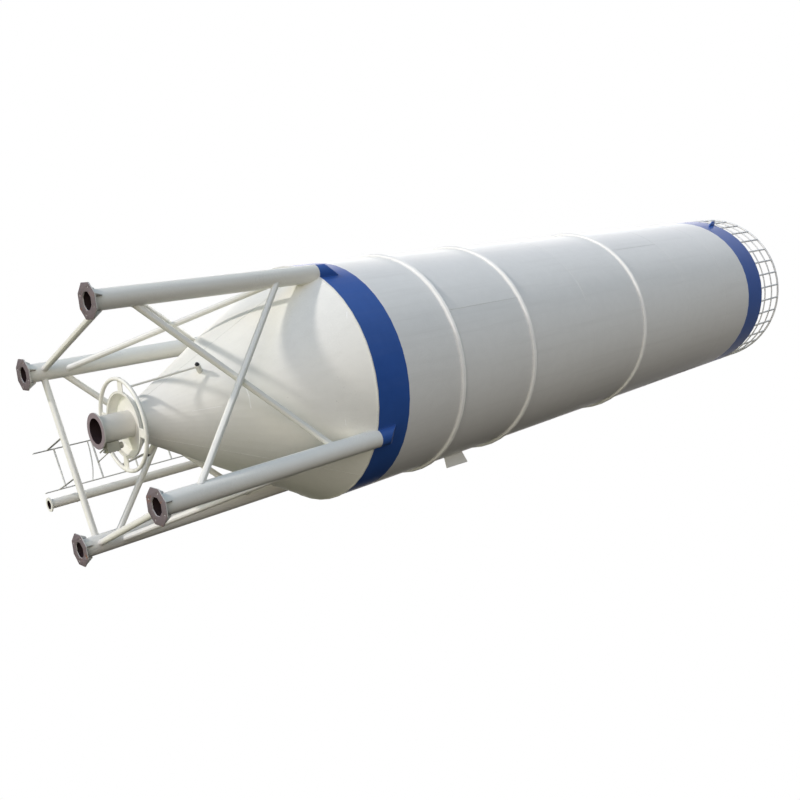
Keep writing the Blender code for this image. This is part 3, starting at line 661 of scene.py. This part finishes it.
def slab(low, high, bevel, segments=2):
    """A block between two corners with rounded edges."""
    bm = bmesh.new()
    low, high = Vector(low), Vector(high)
    place = Matrix.Translation((low + high) / 2) @ Matrix.Diagonal((*(high - low), 1))
    bmesh.ops.create_cube(bm, size=1.0, matrix=place)
    bmesh.ops.bevel(bm, geom=bm.edges, offset=bevel, segments=segments, affect="EDGES", profile=0.5)
    return bm


def hexagon(size, height):
    """A bolt head or nut on the plane z = 0, with its top corners turned off."""
    corner, crown, chamfer = size * 0.57735, size * 0.49, 0.0015
    profile = [(0, 0), (corner, 0), (corner, height - chamfer), (crown, height), (0, height)]
    return lathe(profile, 6, closed=False)


def bolt_head(bolt, height=0.65):
    """A hexagon for a thread diameter; the height is a share of it."""
    return hexagon(bolt * 1.6, bolt * height)


def round_ring(radius, z, size, sides, steps=6):
    """A ring of round section, such as a weld in the corner round a pipe."""
    turns = (math.tau * step / steps for step in range(steps))
    return lathe([(radius + size * math.cos(turn), z + size * math.sin(turn)) for turn in turns], sides)


def flat_ring(inner, outer, half, sides, z=0.0):
    """A ring of flat bar."""
    return lathe([(inner, z - half), (outer, z - half), (outer, z + half), (inner, z + half)], sides)


def moved(bm, matrix):
    bmesh.ops.transform(bm, matrix=matrix, verts=bm.verts)
    return bm


def shifted(bm, x, y, z=0.0):
    return moved(bm, Matrix.Translation((x, y, z)))


def stood(bm, place, direction):
    """Stand a shape made along +Z at a place, facing a direction."""
    turn = Vector(direction).to_track_quat("Z", "Y").to_matrix().to_4x4()
    return moved(bm, Matrix.Translation(place) @ turn)


def mesh_of(name, bm):
    """Turn a bmesh into a mesh with its faces pointing out."""
    bmesh.ops.recalc_face_normals(bm, faces=bm.faces)
    mesh = bpy.data.meshes.new(name)
    bm.to_mesh(mesh)
    bm.free()
    return mesh


def merged(parts):
    """Join bmeshes into one that holds all their faces."""
    whole = bmesh.new()
    for part in parts:
        mesh = bpy.data.meshes.new("part")
        part.to_mesh(mesh)
        part.free()
        whole.from_mesh(mesh)
        bpy.data.meshes.remove(mesh)
    return whole


def add_object(name, data):
    """Put a mesh, light or camera in the scene."""
    item = bpy.data.objects.new(name, data)
    bpy.context.scene.collection.objects.link(item)
    return item


def place_piece(name, parts, paint, nodes=()):
    """Put finished parts in the scene as one piece, riding on the silo and standing for any nodes named."""
    mesh = mesh_of(name, merged(parts))
    mesh.shade_smooth()
    mesh.set_sharp_from_angle(angle=math.radians(CORNER_ANGLE))
    mesh.materials.append(finish(paint))
    piece = add_object(name, mesh)
    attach(piece, "root")
    if nodes:
        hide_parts(*nodes)


def smoothing_tree(name):
    """Modifier that joins split corners and shades round faces smooth."""
    tree = bpy.data.node_groups.new(name, "GeometryNodeTree")
    for way in ("INPUT", "OUTPUT"):
        tree.interface.new_socket("Geometry", in_out=way, socket_type="NodeSocketGeometry")
    graph = Graph(tree)
    weld = graph.add("GeometryNodeMergeByDistance")
    graph.feed(weld.inputs, Geometry=graph.add("NodeGroupInput").outputs[0], Distance=0.00002)
    bare = graph.add("GeometryNodeRemoveAttribute")
    graph.feed(bare.inputs, Geometry=weld.outputs[0])
    graph.put("custom_normal", bare.inputs["Name"])
    edge = graph.add("GeometryNodeInputMeshEdgeAngle").outputs[0]
    sharp = graph.chain("FunctionNodeCompare", edge, math.radians(SHARP_ANGLE), data_type="FLOAT",
                        operation="GREATER_THAN")
    shaded = bare.outputs[0]
    for domain, smooth in (("FACE", True), ("EDGE", True), ("EDGE", False)):
        step = graph.add("GeometryNodeSetShadeSmooth", domain=domain)
        graph.feed(step.inputs, Geometry=shaded, Shade_Smooth=smooth)
        if not smooth:
            graph.feed(step.inputs, Selection=sharp)
        shaded = step.outputs[0]
    graph.put(shaded, graph.add("NodeGroupOutput").inputs[0])
    return tree


def dress(names, paint, bevel=0.0):
    """Give CAD nodes a finish, smooth shading and, where they are blocky, rounded edges."""
    for name in names:
        node = NODES[name]
        node.data.materials.clear()
        node.data.materials.append(finish(paint))
        node.modifiers.new("Smooth", "NODES").node_group = built("Smooth Round Faces", smoothing_tree)
        if bevel:
            rounding = node.modifiers.new("Bevel", "BEVEL")
            rounding.width = bevel
            rounding.segments = 2
            rounding.limit_method = "ANGLE"
            rounding.angle_limit = math.radians(SHARP_ANGLE)
            rounding.harden_normals = True


def cad_copy(name):
    """A CAD node's mesh with its split corners joined."""
    bm = bmesh.new()
    bm.from_mesh(NODES[name].data)
    bmesh.ops.remove_doubles(bm, verts=bm.verts, dist=0.00002)
    bmesh.ops.dissolve_limit(bm, angle_limit=math.radians(0.5), verts=bm.verts, edges=bm.edges)
    return bm


def rounded(bm, width, angle):
    """Bevel the edges of a mesh that are sharper than an angle."""
    limit = math.radians(angle)
    sharp = [edge for edge in bm.edges if edge.is_manifold and edge.calc_face_angle() > limit]
    bmesh.ops.bevel(bm, geom=sharp, offset=width, segments=2, affect="EDGES", profile=0.5, clamp_overlap=True)
    return bm


def drilled(bm, places, radius, depth):
    """Cut upright round holes through a closed mesh."""
    drills = []
    for place in places:
        drill = lathe([(0, -depth), (radius, -depth), (radius, depth), (0, depth)], 16, closed=False)
        drills.append(stood(drill, place, (0, 0, 1)))
    body, cutter = (add_object("drilling", mesh_of("drilling", part)) for part in (bm, merged(drills)))
    cut = body.modifiers.new("Holes", "BOOLEAN")
    cut.operation = "DIFFERENCE"
    cut.solver = "EXACT"
    cut.object = cutter
    result = bmesh.new()
    result.from_object(body, bpy.context.evaluated_depsgraph_get())
    for item in (body, cutter):
        mesh = item.data
        bpy.data.objects.remove(item)
        bpy.data.meshes.remove(mesh)
    return result


# Operators

SKY_BASE = (0.010, 0.010, 0.012)
SKY_GLOWS = (
    ((-0.71, -0.71, 0.0), 0.4, (0.49, 0.67, 0.69)),
    ((0.03, -0.77, -0.64), 0.8, (2.20, 1.95, 1.50)),
    ((-0.58, -0.50, -0.64), 0.4, (0.00, 0.00, 0.39)),
    ((-0.18, 0.18, -0.97), 0.8, (1.60, 1.70, 1.03)),
    ((-0.36, 0.68, 0.64), 0.8, (2.82, 2.69, 2.51)),
    ((-0.18, 0.18, 0.97), 0.8, (1.28, 1.25, 1.31)),
)
FLOOR_TONES = ((0.90, 0.90, 0.89, 1.0), (0.95, 0.95, 0.94, 1.0))
FLOOR_GLOW = (1.0, 1.0, 0.98, 1.0)


class SiloOperator:
    """What all the silo's operators share."""
    bl_options = {"REGISTER", "UNDO"}


class SILO_OT_stage(SiloOperator, Operator):
    """Set up the floor, the sun, the sky and the camera"""
    bl_idname = "silo.stage"
    bl_label = "Stage"

    def execute(self, context):
        stage = context.scene.silo_stage
        self.add_floor(stage)
        self.add_sky(context, stage)
        sun = bpy.data.lights.new("sun", "SUN")
        sun.energy = stage.sun_strength
        sun.angle = stage.sun_size
        sun.color = stage.sun_colour
        add_object("sun", sun).rotation_euler = Vector(stage.sun_from).to_track_quat("Z", "Y").to_euler()
        camera = add_object("camera", bpy.data.cameras.new("camera"))
        camera.location = stage.camera_place
        camera.rotation_euler = stage.camera_turn
        camera.data.lens = stage.lens
        camera.data.shift_y = stage.shift
        camera.data.clip_end = 500
        context.scene.camera = camera
        context.scene.view_settings.view_transform = "Standard"
        return {"FINISHED"}

    def add_floor(self, stage):
        """Pale floor that only shows from above and stops no light from below."""
        half = stage.floor / 2
        corners = [(-half, -half, 0), (half, -half, 0), (half, half, 0), (-half, half, 0)]
        mesh = bpy.data.meshes.new("floor")
        mesh.from_pydata(corners, [], [(0, 1, 2, 3)])
        material = bpy.data.materials.new("pale floor")
        graph = node_graph(material)
        shader = graph.add("ShaderNodeBsdfPrincipled")
        tone = graph.mix(graph.noise(graph.place(), 0.5), *FLOOR_TONES)
        graph.feed(shader.inputs, Base_Color=tone, Roughness=0.9, Emission_Color=FLOOR_GLOW,
                   Emission_Strength=stage.floor_glow)
        clear = graph.add("ShaderNodeBsdfTransparent").outputs[0]
        below = graph.add("ShaderNodeNewGeometry").outputs["Backfacing"]
        surface = graph.chain("ShaderNodeMixShader", below, shader.outputs[0], clear)
        graph.put(surface, graph.add("ShaderNodeOutputMaterial").inputs["Surface"])
        mesh.materials.append(material)
        floor = add_object("floor", mesh)
        floor.visible_diffuse = False
        floor.visible_glossy = False
        floor.visible_transmission = False
        floor.visible_shadow = False

    def add_sky(self, context, stage):
        """
        White backdrop; for lighting, soft glows that leave the side away from the sun dark. Each glow
        has its direction, how near to it the glow starts as a cosine, and its colour.
        """
        world = bpy.data.worlds.new("sky")
        context.scene.world = world
        graph = node_graph(world)
        way = graph.add("ShaderNodeTexCoord").outputs["Generated"]
        sky = SKY_BASE
        for toward, edge, colour in SKY_GLOWS:
            near = graph.spread(graph.scalar("DOT_PRODUCT", way, Vector(toward).normalized()), edge, 1.0)
            sky = graph.vector("ADD", graph.scaled(colour, near), sky)
        light = graph.chain("ShaderNodeBackground", sky, stage.sky)
        white = graph.chain("ShaderNodeBackground", (1, 1, 1, 1))
        seen = graph.add("ShaderNodeLightPath").outputs["Is Camera Ray"]
        surface = graph.chain("ShaderNodeMixShader", seen, light, white)
        graph.put(surface, graph.add("ShaderNodeOutputWorld").inputs["Surface"])


class SILO_OT_shell(SiloOperator, Operator):
    """Paint the shell courses and add the welds between their plates"""
    bl_idname = "silo.shell"
    bl_label = "Shell"

    def execute(self, context):
        sizes = context.scene.silo_sizes
        dress(COURSES, "ivory paint")
        clear = 0.1
        joints = [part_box(course)[1].z for course in COURSES[:-1]]
        bare = [z for z in joints if all(abs(z - middle(ring)) > clear for ring in RINGS)]
        seams = [self.seam_ring(z, sizes) for z in bare]
        for number, course in enumerate(COURSES):
            angle = FIRST_SEAM_ANGLE + SEAM_ANGLE_STEP * number
            ends = [at_angle(SHELL_RADIUS, angle, corner.z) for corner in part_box(course)]
            seams.append(sweep(ends, sizes.seam / 2, flatten=0.6, up=at_angle(1, angle)))
        place_piece("shell_welds", seams, "ivory weld")
        return {"FINISHED"}

    def seam_ring(self, z, sizes):
        """A flat weld bead round the shell, sunk a little into its plate."""
        half, proud = sizes.seam / 2, sizes.seam_height
        section = ((-1, -1), (0.7, -0.6), (1, 0), (0.7, 0.6), (-1, 1))
        return lathe([(SHELL_RADIUS + proud * out, z + half * up) for out, up in section], SHELL_SIDES)


class SILO_OT_bands(SiloOperator, Operator):
    """Paint the two blue bands"""
    bl_idname = "silo.bands"
    bl_label = "Bands"

    def execute(self, context):
        dress(["base_band", "top_band"], "blue paint")
        return {"FINISHED"}


class SILO_OT_rings(SiloOperator, Operator):
    """Paint the stiffening rings and weld them to the shell"""
    bl_idname = "silo.rings"
    bl_label = "Rings"

    def execute(self, context):
        fillet = context.scene.silo_sizes.fillet
        dress(RINGS, "ivory paint")
        edges = [corner.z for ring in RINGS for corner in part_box(ring)]
        welds = [round_ring(SHELL_RADIUS + fillet / 3, z, fillet, SHELL_SIDES) for z in edges]
        place_piece("ring_welds", welds, "ivory weld")
        return {"FINISHED"}


class SILO_OT_cone(SiloOperator, Operator):
    """Paint the hopper cone and add its seams and the bead round its rim"""
    bl_idname = "silo.cone"
    bl_label = "Cone"

    def execute(self, context):
        sizes = context.scene.silo_sizes
        dress(["hopper_cone"], "cone paint")
        seams = []
        for angle in CONE_SEAM_ANGLES:
            ends = (at_angle(NECK_RADIUS, angle, NECK_Z), at_angle(SHELL_RADIUS, angle, RIM_Z))
            seams.append(sweep(ends, sizes.seam / 2, flatten=0.5, up=at_angle(1, angle)))
        place_piece("cone_seams", seams, "cream weld")
        rim = lathe([(SHELL_RADIUS + out, RIM_Z + up) for out, up in RIM_BEAD], SHELL_SIDES)
        place_piece("rim_bead", [rim], "cream weld")
        return {"FINISHED"}


class SILO_OT_discharge(SiloOperator, Operator):
    """Finish the discharge pan, the outlet spout and the valve on its side"""
    bl_idname = "silo.discharge"
    bl_label = "Discharge"

    def execute(self, context):
        fillet = context.scene.silo_sizes.fillet
        dress(["discharge_pan"], "cream paint")
        dress(["outlet_spout"], "spout paint")
        corners = (
            (NECK_RADIUS, NECK_Z, 1.0),
            (SPOUT_RADIUS, PAN_Z + PAN_DEPTH, 1.3),
            (SPOUT_RADIUS, SPOUT_Z + SPOUT_FLANGE, 1.0),
            (PAN_RADIUS, PAN_Z + PLATE / 2, 0.8),
        )
        beads = [round_ring(radius, z, fillet * size, OUTLET_SIDES) for radius, z, size in corners]
        place_piece("discharge_welds", beads, "cream weld")
        self.add_valve()
        return {"FINISHED"}

    def add_valve(self):
        """Grey-green box with a boss, cover bolts and a forked lever, clamped to the spout."""
        low, high = 0.20, 0.34
        cover, half_width = 0.255, 0.055
        boss, boss_top, boss_edge = 0.035, 0.395, 0.007
        parts = [slab((SPOUT_RADIUS - 0.002, -half_width, low), (cover, half_width, high), 0.006, 3)]
        profile = [(0, low + 0.02), (boss, low + 0.02), (boss, boss_top - boss_edge),
                   (boss - boss_edge, boss_top), (0, boss_top)]
        parts.append(shifted(lathe(profile, 24, closed=False), 0.205, 0))
        for y in (-0.038, 0.038):
            for z in (low + 0.025, high - 0.025):
                parts.append(stood(hexagon(0.016, 0.007), (cover - 0.001, y, z), (1, 0, 0)))
            arm = [(0.20, y * 0.6, low + 0.01), (0.215, y * 0.9, low - 0.02), (0.236, y * 1.3, low - 0.05)]
            parts.append(sweep(arm, 0.008, 10))
        valve = [moved(merged(parts), Matrix.Rotation(math.radians(VALVE_ANGLE), 4, "Z"))]
        for across in (-0.011, 0.011):
            start, end = Vector((0.226, 0.036 + across, 0.262)), Vector((0.300, 0.110 + across, 0.124))
            valve.append(sweep((start, end, end + Vector((0.012, 0.006, -0.012))), 0.0055, 10))
        valve.append(sweep(((0.300, 0.094, 0.120), (0.300, 0.126, 0.120)), 0.007, 10))
        place_piece("outlet_valve_body", valve, "valve paint", ["outlet_valve"])


class SILO_OT_air_ring(SiloOperator, Operator):
    """Build the round air ring with its clamps and the fittings at its feeds"""
    bl_idname = "silo.air_ring"
    bl_label = "Air ring"

    def execute(self, context):
        level = middle("air_ring")
        ring = round_ring(AIR_RING_RADIUS, level, AIR_PIPE_RADIUS, 96, steps=16)
        place_piece("air_ring_pipe", [ring], "cream paint", ["air_ring"])
        dress(["air_feed_1", "air_feed_2"], "cream paint")
        straps = []
        for angle in TAB_ANGLES:
            strap = flat_ring(AIR_PIPE_RADIUS, AIR_PIPE_RADIUS + STRAP, STRAP_HALF_WIDTH, 24)
            place = at_angle(AIR_RING_RADIUS, angle, level)
            straps.append(stood(strap, place, at_angle(1, angle + 90)))
        place_piece("air_ring_straps", straps, "cream paint")
        self.add_nozzles()
        return {"FINISHED"}

    def add_nozzles(self):
        """A hexagon nut and a round cap on the end of each feed's nozzle, square to the cone."""
        slope = math.atan(CONE_SLOPE)
        fittings = []
        for angle, z in FEED_SEATS:
            outward = at_angle(math.cos(slope), angle, -math.sin(slope))
            seat = at_angle(SHELL_RADIUS - (RIM_Z - z) * CONE_SLOPE, angle, z)
            tip = seat + outward * NOZZLE_LENGTH
            fittings.append(stood(hexagon(0.046, 0.016), tip - outward * 0.004, outward))
            cap = lathe([(0, 0), (0.015, 0), (0.015, 0.022), (0.010, 0.027), (0, 0.027)], 20, closed=False)
            fittings.append(stood(cap, tip + outward * 0.008, outward))
        place_piece("air_fittings", fittings, "black fitting")


def leg_axis(side):
    return at_angle(SHELL_RADIUS, LEG_ANGLES[side])


class SILO_OT_legs(SiloOperator, Operator):
    """Paint the legs and weld them to the shell and the cone"""
    bl_idname = "silo.legs"
    bl_label = "Legs"

    def execute(self, context):
        fillet = context.scene.silo_sizes.fillet
        dress([f"leg_{side}" for side in LEG_ANGLES], "leg paint")
        for name, curve, paint in (("leg_head_welds", self.head_curve, "blue weld"),
                                   ("leg_cone_welds", self.cone_curve, "cream weld")):
            place_piece(name, [sweep(curve(side), fillet) for side in LEG_ANGLES], paint)
        return {"FINISHED"}

    def head_curve(self, side, steps=8):
        """Up one side of the leg's head, over it and down the other side, on the shell."""
        reach = math.degrees(2 * math.asin(LEG_RADIUS / (2 * SHELL_RADIUS)))
        turns = [LEG_ANGLES[side] - reach + 2 * reach * step / steps for step in range(steps + 1)]
        over = [at_angle(SHELL_RADIUS, turn, LEG_HEAD_Z) for turn in turns]
        return [at_angle(SHELL_RADIUS, turns[0], RIM_Z), *over, at_angle(SHELL_RADIUS, turns[-1], RIM_Z)]

    def cone_curve(self, side, steps=24):
        """Where the leg's pipe runs into the cone under the rim."""
        reach = math.acos(-LEG_RADIUS / (2 * SHELL_RADIUS))
        points = []
        for step in range(steps + 1):
            turn = math.radians(LEG_ANGLES[side]) + reach + (math.tau - 2 * reach) * step / steps
            point = leg_axis(side) + LEG_RADIUS * Vector((math.cos(turn), math.sin(turn), 0))
            point.z = RIM_Z - max(0.0, SHELL_RADIUS - point.xy.length) / CONE_SLOPE
            points.append(point)
        return points


class SILO_OT_feet(SiloOperator, Operator):
    """Build the foot plates with rounded edges, bolt holes and welds"""
    bl_idname = "silo.feet"
    bl_label = "Feet"

    def execute(self, context):
        sizes = context.scene.silo_sizes
        beads = []
        for side, angle in LEG_ANGLES.items():
            axis = leg_axis(side)
            quarters = [angle + quarter for quarter in (0, 90, 180, 270)]
            holes = [axis + at_angle(FOOT_HOLE_CIRCLE, turn, FOOT_PLATE / 2) for turn in quarters]
            plate = drilled(cad_copy(f"foot_{side}"), holes, FOOT_HOLE, FOOT_PLATE)
            plate = rounded(plate, sizes.bevel * 0.6, 40)
            place_piece(f"foot_plate_{side}", [plate], "rusty primer", [f"foot_{side}"])
            beads.append(shifted(round_ring(LEG_RADIUS, FOOT_PLATE, sizes.fillet, 32), axis.x, axis.y))
            for turn in quarters:
                beads += self.gusset_beads(axis, turn + 45, sizes.fillet * 0.6)
        place_piece("foot_welds", beads, "primer weld")
        return {"FINISHED"}

    def gusset_beads(self, axis, angle, size):
        """A weld on each side of a gusset, along its foot and up the pipe."""
        beads = []
        for side in (-1, 1):
            edge = axis + side * at_angle(GUSSET_HALF_WIDTH, angle + 90)
            corners = ((GUSSET_REACH, FOOT_PLATE), (LEG_RADIUS, FOOT_PLATE),
                       (LEG_RADIUS, FOOT_PLATE + GUSSET_HEIGHT))
            beads.append(sweep([edge + at_angle(radius, angle, z) for radius, z in corners], size, 6))
        return beads


class SILO_OT_bracing(SiloOperator, Operator):
    """Paint the diagonals and struts and weld them to the legs"""
    bl_idname = "silo.bracing"
    bl_label = "Bracing"

    def execute(self, context):
        dress([name for name in NODES if name.startswith(("brace_", "strut_"))], "cream paint")
        welds = []
        for start, end in self.bar_ends():
            for near, far in ((start, end), (end, start)):
                curve = self.saddle_curve(near, far)
                if curve:
                    welds.append(sweep(curve, context.scene.silo_sizes.fillet, 6, closed=True))
        place_piece("brace_welds", welds, "cream weld")
        return {"FINISHED"}

    def bar_ends(self):
        """Each diagonal and strut as (start, end) axis points; the front has no strut."""
        sides = list(LEG_ANGLES)
        low, high, level = (Vector((0, 0, z)) for z in (BRACE_LOW, BRACE_HIGH, STRUT_Z))
        bars = []
        for start, end in zip(sides, sides[1:] + sides[:1]):
            near, far = leg_axis(start), leg_axis(end)
            outward = ((near + far) / 2).normalized() * BRACE_APART
            bars.append((near + low - outward, far + high - outward))
            bars.append((far + low + outward, near + high + outward))
            if start != "front_left":
                bars.append((near + level, far + level))
        return bars

    def saddle_curve(self, start, end, steps=28):
        """Where a round bar that starts near a leg's axis leaves the leg's surface."""
        run = (end - start).normalized()
        axis = min((leg_axis(side).xy for side in LEG_ANGLES), key=lambda place: (place - start.xy).length)
        first = run.orthogonal().normalized()
        second = run.cross(first)
        square = run.xy.length_squared
        points = []
        for step in range(steps):
            turn = math.tau * step / steps
            rim = start + BRACE_RADIUS * (first * math.cos(turn) + second * math.sin(turn))
            away = rim.xy - axis
            half = away.dot(run.xy)
            inside = half * half - square * (away.length_squared - LEG_RADIUS ** 2)
            if inside < 0:
                return []
            points.append(rim + run * ((math.sqrt(inside) - half) / square))
        return points


class SILO_OT_fill_pipe(SiloOperator, Operator):
    """Paint the fill pipe and add its welds and the clamps at the brackets"""
    bl_idname = "silo.fill_pipe"
    bl_label = "Fill pipe"

    def execute(self, context):
        dress(["fill_pipe"], "pipe paint")
        bead = context.scene.silo_sizes.fillet * 0.7
        welds = [shifted(round_ring(PIPE_RADIUS, z, bead, 32), PIPE_X, PIPE_Y) for z in PIPE_WELDS]
        place_piece("pipe_welds", welds, "cream weld")
        clamps = [part for bracket in BRACKETS for part in self.clamp(middle(bracket))]
        place_piece("pipe_clamps", clamps, "zinc")
        return {"FINISHED"}

    def clamp(self, z):
        """A band round the pipe with two ears, and a bolt and nut through them."""
        half = CLAMP_HALF_WIDTH
        band = flat_ring(PIPE_RADIUS + 0.0003, PIPE_RADIUS + 0.0045, half, 32, z)
        edge = PIPE_X + PIPE_RADIUS
        reach, ear, thickness, apart = 0.034, 0.012, 0.005, 0.020
        parts = [shifted(band, PIPE_X, PIPE_Y)]
        for side, height in ((-1, 0.010), (1, 0.008)):
            y = PIPE_Y + side * ear
            low, high = (edge, y - thickness / 2, z - half), (edge + reach, y + thickness / 2, z + half)
            parts.append(slab(low, high, 0.001, 1))
            place = (edge + apart, y + side * thickness / 2, z)
            parts.append(stood(hexagon(0.017, height), place, (0, side, 0)))
        return parts


class SILO_OT_ladder(SiloOperator, Operator):
    """Build the ladder's flat stringers and round rungs, and bolt it to its brackets"""
    bl_idname = "silo.ladder"
    bl_label = "Ladder"

    def execute(self, context):
        sizes = context.scene.silo_sizes
        foot, head = (corner.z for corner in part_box("ladder"))
        half_thick, half_deep = STRINGER
        bars = []
        for x in (-LADDER_HALF_WIDTH, LADDER_HALF_WIDTH):
            low = (x - half_thick, LADDER_Y - half_deep, foot)
            high = (x + half_thick, LADDER_Y + half_deep, head)
            bars.append(slab(low, high, 0.0015))
        for step in range(int((head - RUNG_FIRST) / RUNG_PITCH) + 1):
            z = RUNG_FIRST + RUNG_PITCH * step
            ends = ((-LADDER_HALF_WIDTH, LADDER_Y, z), (LADDER_HALF_WIDTH, LADDER_Y, z))
            bars.append(sweep(ends, sizes.rung / 2, 14))
        bars.append(sweep([(x, LADDER_Y, z) for x, z in BENT_ROD], sizes.rung * 0.35, 10))
        place_piece("ladder_rungs_and_stringers", bars, "pale paint", ["ladder"])
        dress(["ladder_stay_left", "ladder_stay_right", *BRACKETS], "pale paint", sizes.bevel)
        bolts = []
        for bracket in BRACKETS:
            for side in (-1, 1):
                for out, height in ((-1, 0.65), (1, 0.8)):
                    place = (side * (LADDER_HALF_WIDTH + out * half_thick), LADDER_Y, middle(bracket))
                    bolts.append(stood(bolt_head(sizes.bolt, height), place, (side * out, 0, 0)))
        place_piece("ladder_bolts", bolts, "zinc")
        return {"FINISHED"}


class SILO_OT_roof(SiloOperator, Operator):
    """Paint the roof and the manhole, and add seams, lid bolts and handles"""
    bl_idname = "silo.roof"
    bl_label = "Roof"

    def execute(self, context):
        sizes = context.scene.silo_sizes
        dress(["roof_plate", "manhole_collar", "manhole_lid"], "ivory paint")
        seams = [round_ring(SHELL_RADIUS - 0.003, ROOF_EDGE_Z, 0.0055, SHELL_SIDES)]
        for angle in range(0, 360, ROOF_SEAM_STEP):
            if angle != MANHOLE_ANGLE:
                edge = at_angle(ROOF_RIM_RADIUS, angle, ROOF_EDGE_Z + PLATE)
                seams.append(sweep((Vector((0, 0, ROOF_TOP_Z)), edge), sizes.seam / 2, flatten=0.5,
                                   up=Vector((0, 0, 1))))
        place_piece("roof_seams", seams, "ivory weld")
        fittings = []
        for number in range(sizes.lid_bolts):
            spot = at_angle(LID_BOLT_RADIUS, 360 * number / sizes.lid_bolts)
            fittings.append(shifted(bolt_head(sizes.bolt), *spot))
        fittings += [sweep(self.handle(x), 0.007, 10) for x in (-0.16, 0.16)]
        place_piece("manhole_fittings", [shifted(merged(fittings), LID_X, LID_Y, LID_HIGH.z)], "zinc")
        return {"FINISHED"}

    def handle(self, x):
        """A rod that stands on the lid and bows over, sunk 2 mm into it."""
        half, rise, bow, steps = 0.07, 0.04, 0.02, 6
        points = [(x, -half, -0.002)]
        for step in range(steps + 1):
            turn = math.pi * step / steps
            points.append((x, -half * math.cos(turn), rise + bow * math.sin(turn)))
        return [*points, (x, half, -0.002)]


class SILO_OT_guardrail(SiloOperator, Operator):
    """Build the round tubes of the guardrail's four panels"""
    bl_idname = "silo.guardrail"
    bl_label = "Guardrail"

    def execute(self, context):
        sizes = context.scene.silo_sizes
        for number in range(1, 5):
            name = f"guardrail_{number}"
            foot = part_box(name)[0].z
            angles = self.post_angles(name, foot)
            tubes = []
            for angle in angles:
                base, top = (at_angle(GUARD_RADIUS, angle, z) for z in (foot, RAIL_LEVELS[-1]))
                tubes.append(sweep((base, top), sizes.post / 2, 16))
                tubes.append(shifted(round_ring(sizes.post / 2, 0.0, 0.004, 16), *base))
            start = angles[0] - (GUARD_PITCH / 2 if number > 1 else GUARD_END)
            end = angles[-1] + (GUARD_PITCH / 2 if number < 4 else GUARD_END)
            steps = max(8, round((end - start) / 2))
            turns = [start + (end - start) * step / steps for step in range(steps + 1)]
            for level, size in zip(RAIL_LEVELS, (sizes.rail, sizes.rail, sizes.top_rail)):
                tubes.append(sweep([at_angle(GUARD_RADIUS, turn, level) for turn in turns], size / 2, 14))
            place_piece(f"{name}_tubes", tubes, "pale paint", [name])
        return {"FINISHED"}

    def post_angles(self, name, foot):
        """Angles of the panel's posts, read from their feet and counted on from the ladder's gap."""
        feet = [vertex.co for vertex in NODES[name].data.vertices if vertex.co.z < foot + 0.001]
        turns = [math.degrees(math.atan2(place.y, place.x)) % 360 for place in feet]
        angles = [round(turn / GUARD_PITCH) * GUARD_PITCH for turn in turns]
        return sorted({angle + 360 if angle < GUARD_GATE else angle for angle in angles})


class SILO_OT_fittings(SiloOperator, Operator):
    """Finish the lifting lugs and the transport lug, with their welds"""
    bl_idname = "silo.fittings"
    bl_label = "Lugs"

    def execute(self, context):
        sizes = context.scene.silo_sizes
        dress(["lifting_lug_1", "lifting_lug_2"], "blue paint", sizes.bevel)
        dress(["transport_lug"], "ivory paint", sizes.bevel)
        beads = [bead for name in ("lifting_lug_1", "lifting_lug_2") for bead in self.lug_beads(name, sizes)]
        place_piece("lug_welds", beads, "blue weld")
        place_piece("transport_lug_welds", self.lug_beads("transport_lug", sizes), "ivory weld")
        return {"FINISHED"}

    def lug_beads(self, name, sizes):
        """An upright weld on each side of a lug."""
        angle, half_width, inset = LUGS[name]
        low, high = (corner.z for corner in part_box(name))
        beads = []
        for side in (-1, 1):
            edge = at_angle(SHELL_RADIUS + 0.002, angle) + side * at_angle(half_width, angle + 90)
            beads.append(sweep([edge + Vector((0, 0, z)) for z in (low + inset, high - inset)], sizes.fillet))
        return beads


STEPS = (
    SILO_OT_stage, SILO_OT_shell, SILO_OT_bands, SILO_OT_rings, SILO_OT_cone, SILO_OT_discharge,
    SILO_OT_air_ring, SILO_OT_legs, SILO_OT_feet, SILO_OT_bracing, SILO_OT_fill_pipe, SILO_OT_ladder,
    SILO_OT_roof, SILO_OT_guardrail, SILO_OT_fittings,
)


class SILO_PT_panel(Panel):
    """Lists the silo's settings and steps in the sidebar"""
    bl_idname = "SILO_PT_panel"
    bl_label = "Cement silo"
    bl_space_type = "VIEW_3D"
    bl_region_type = "UI"
    bl_category = "Silo"

    def draw(self, context):
        layout = self.layout
        for settings in (context.scene.silo_colours, context.scene.silo_sizes, context.scene.silo_stage):
            box = layout.box()
            for name in settings.bl_rna.properties.keys():
                if name not in ("rna_type", "name"):
                    box.prop(settings, name)
        for step in STEPS:
            layout.operator(step.bl_idname)


CLASSES = (SiloColours, SiloSizes, SiloStage, *STEPS, SILO_PT_panel)


def register():
    for item in CLASSES:
        bpy.utils.register_class(item)
    bpy.types.Scene.silo_colours = PointerProperty(type=SiloColours)
    bpy.types.Scene.silo_sizes = PointerProperty(type=SiloSizes)
    bpy.types.Scene.silo_stage = PointerProperty(type=SiloStage)


def unregister():
    del bpy.types.Scene.silo_stage
    del bpy.types.Scene.silo_sizes
    del bpy.types.Scene.silo_colours
    for item in reversed(CLASSES):
        bpy.utils.unregister_class(item)


def main():
    register()
    for step in STEPS:
        group, name = step.bl_idname.split(".")
        getattr(getattr(bpy.ops, group), name)()


if __name__ == "__main__":
    main()
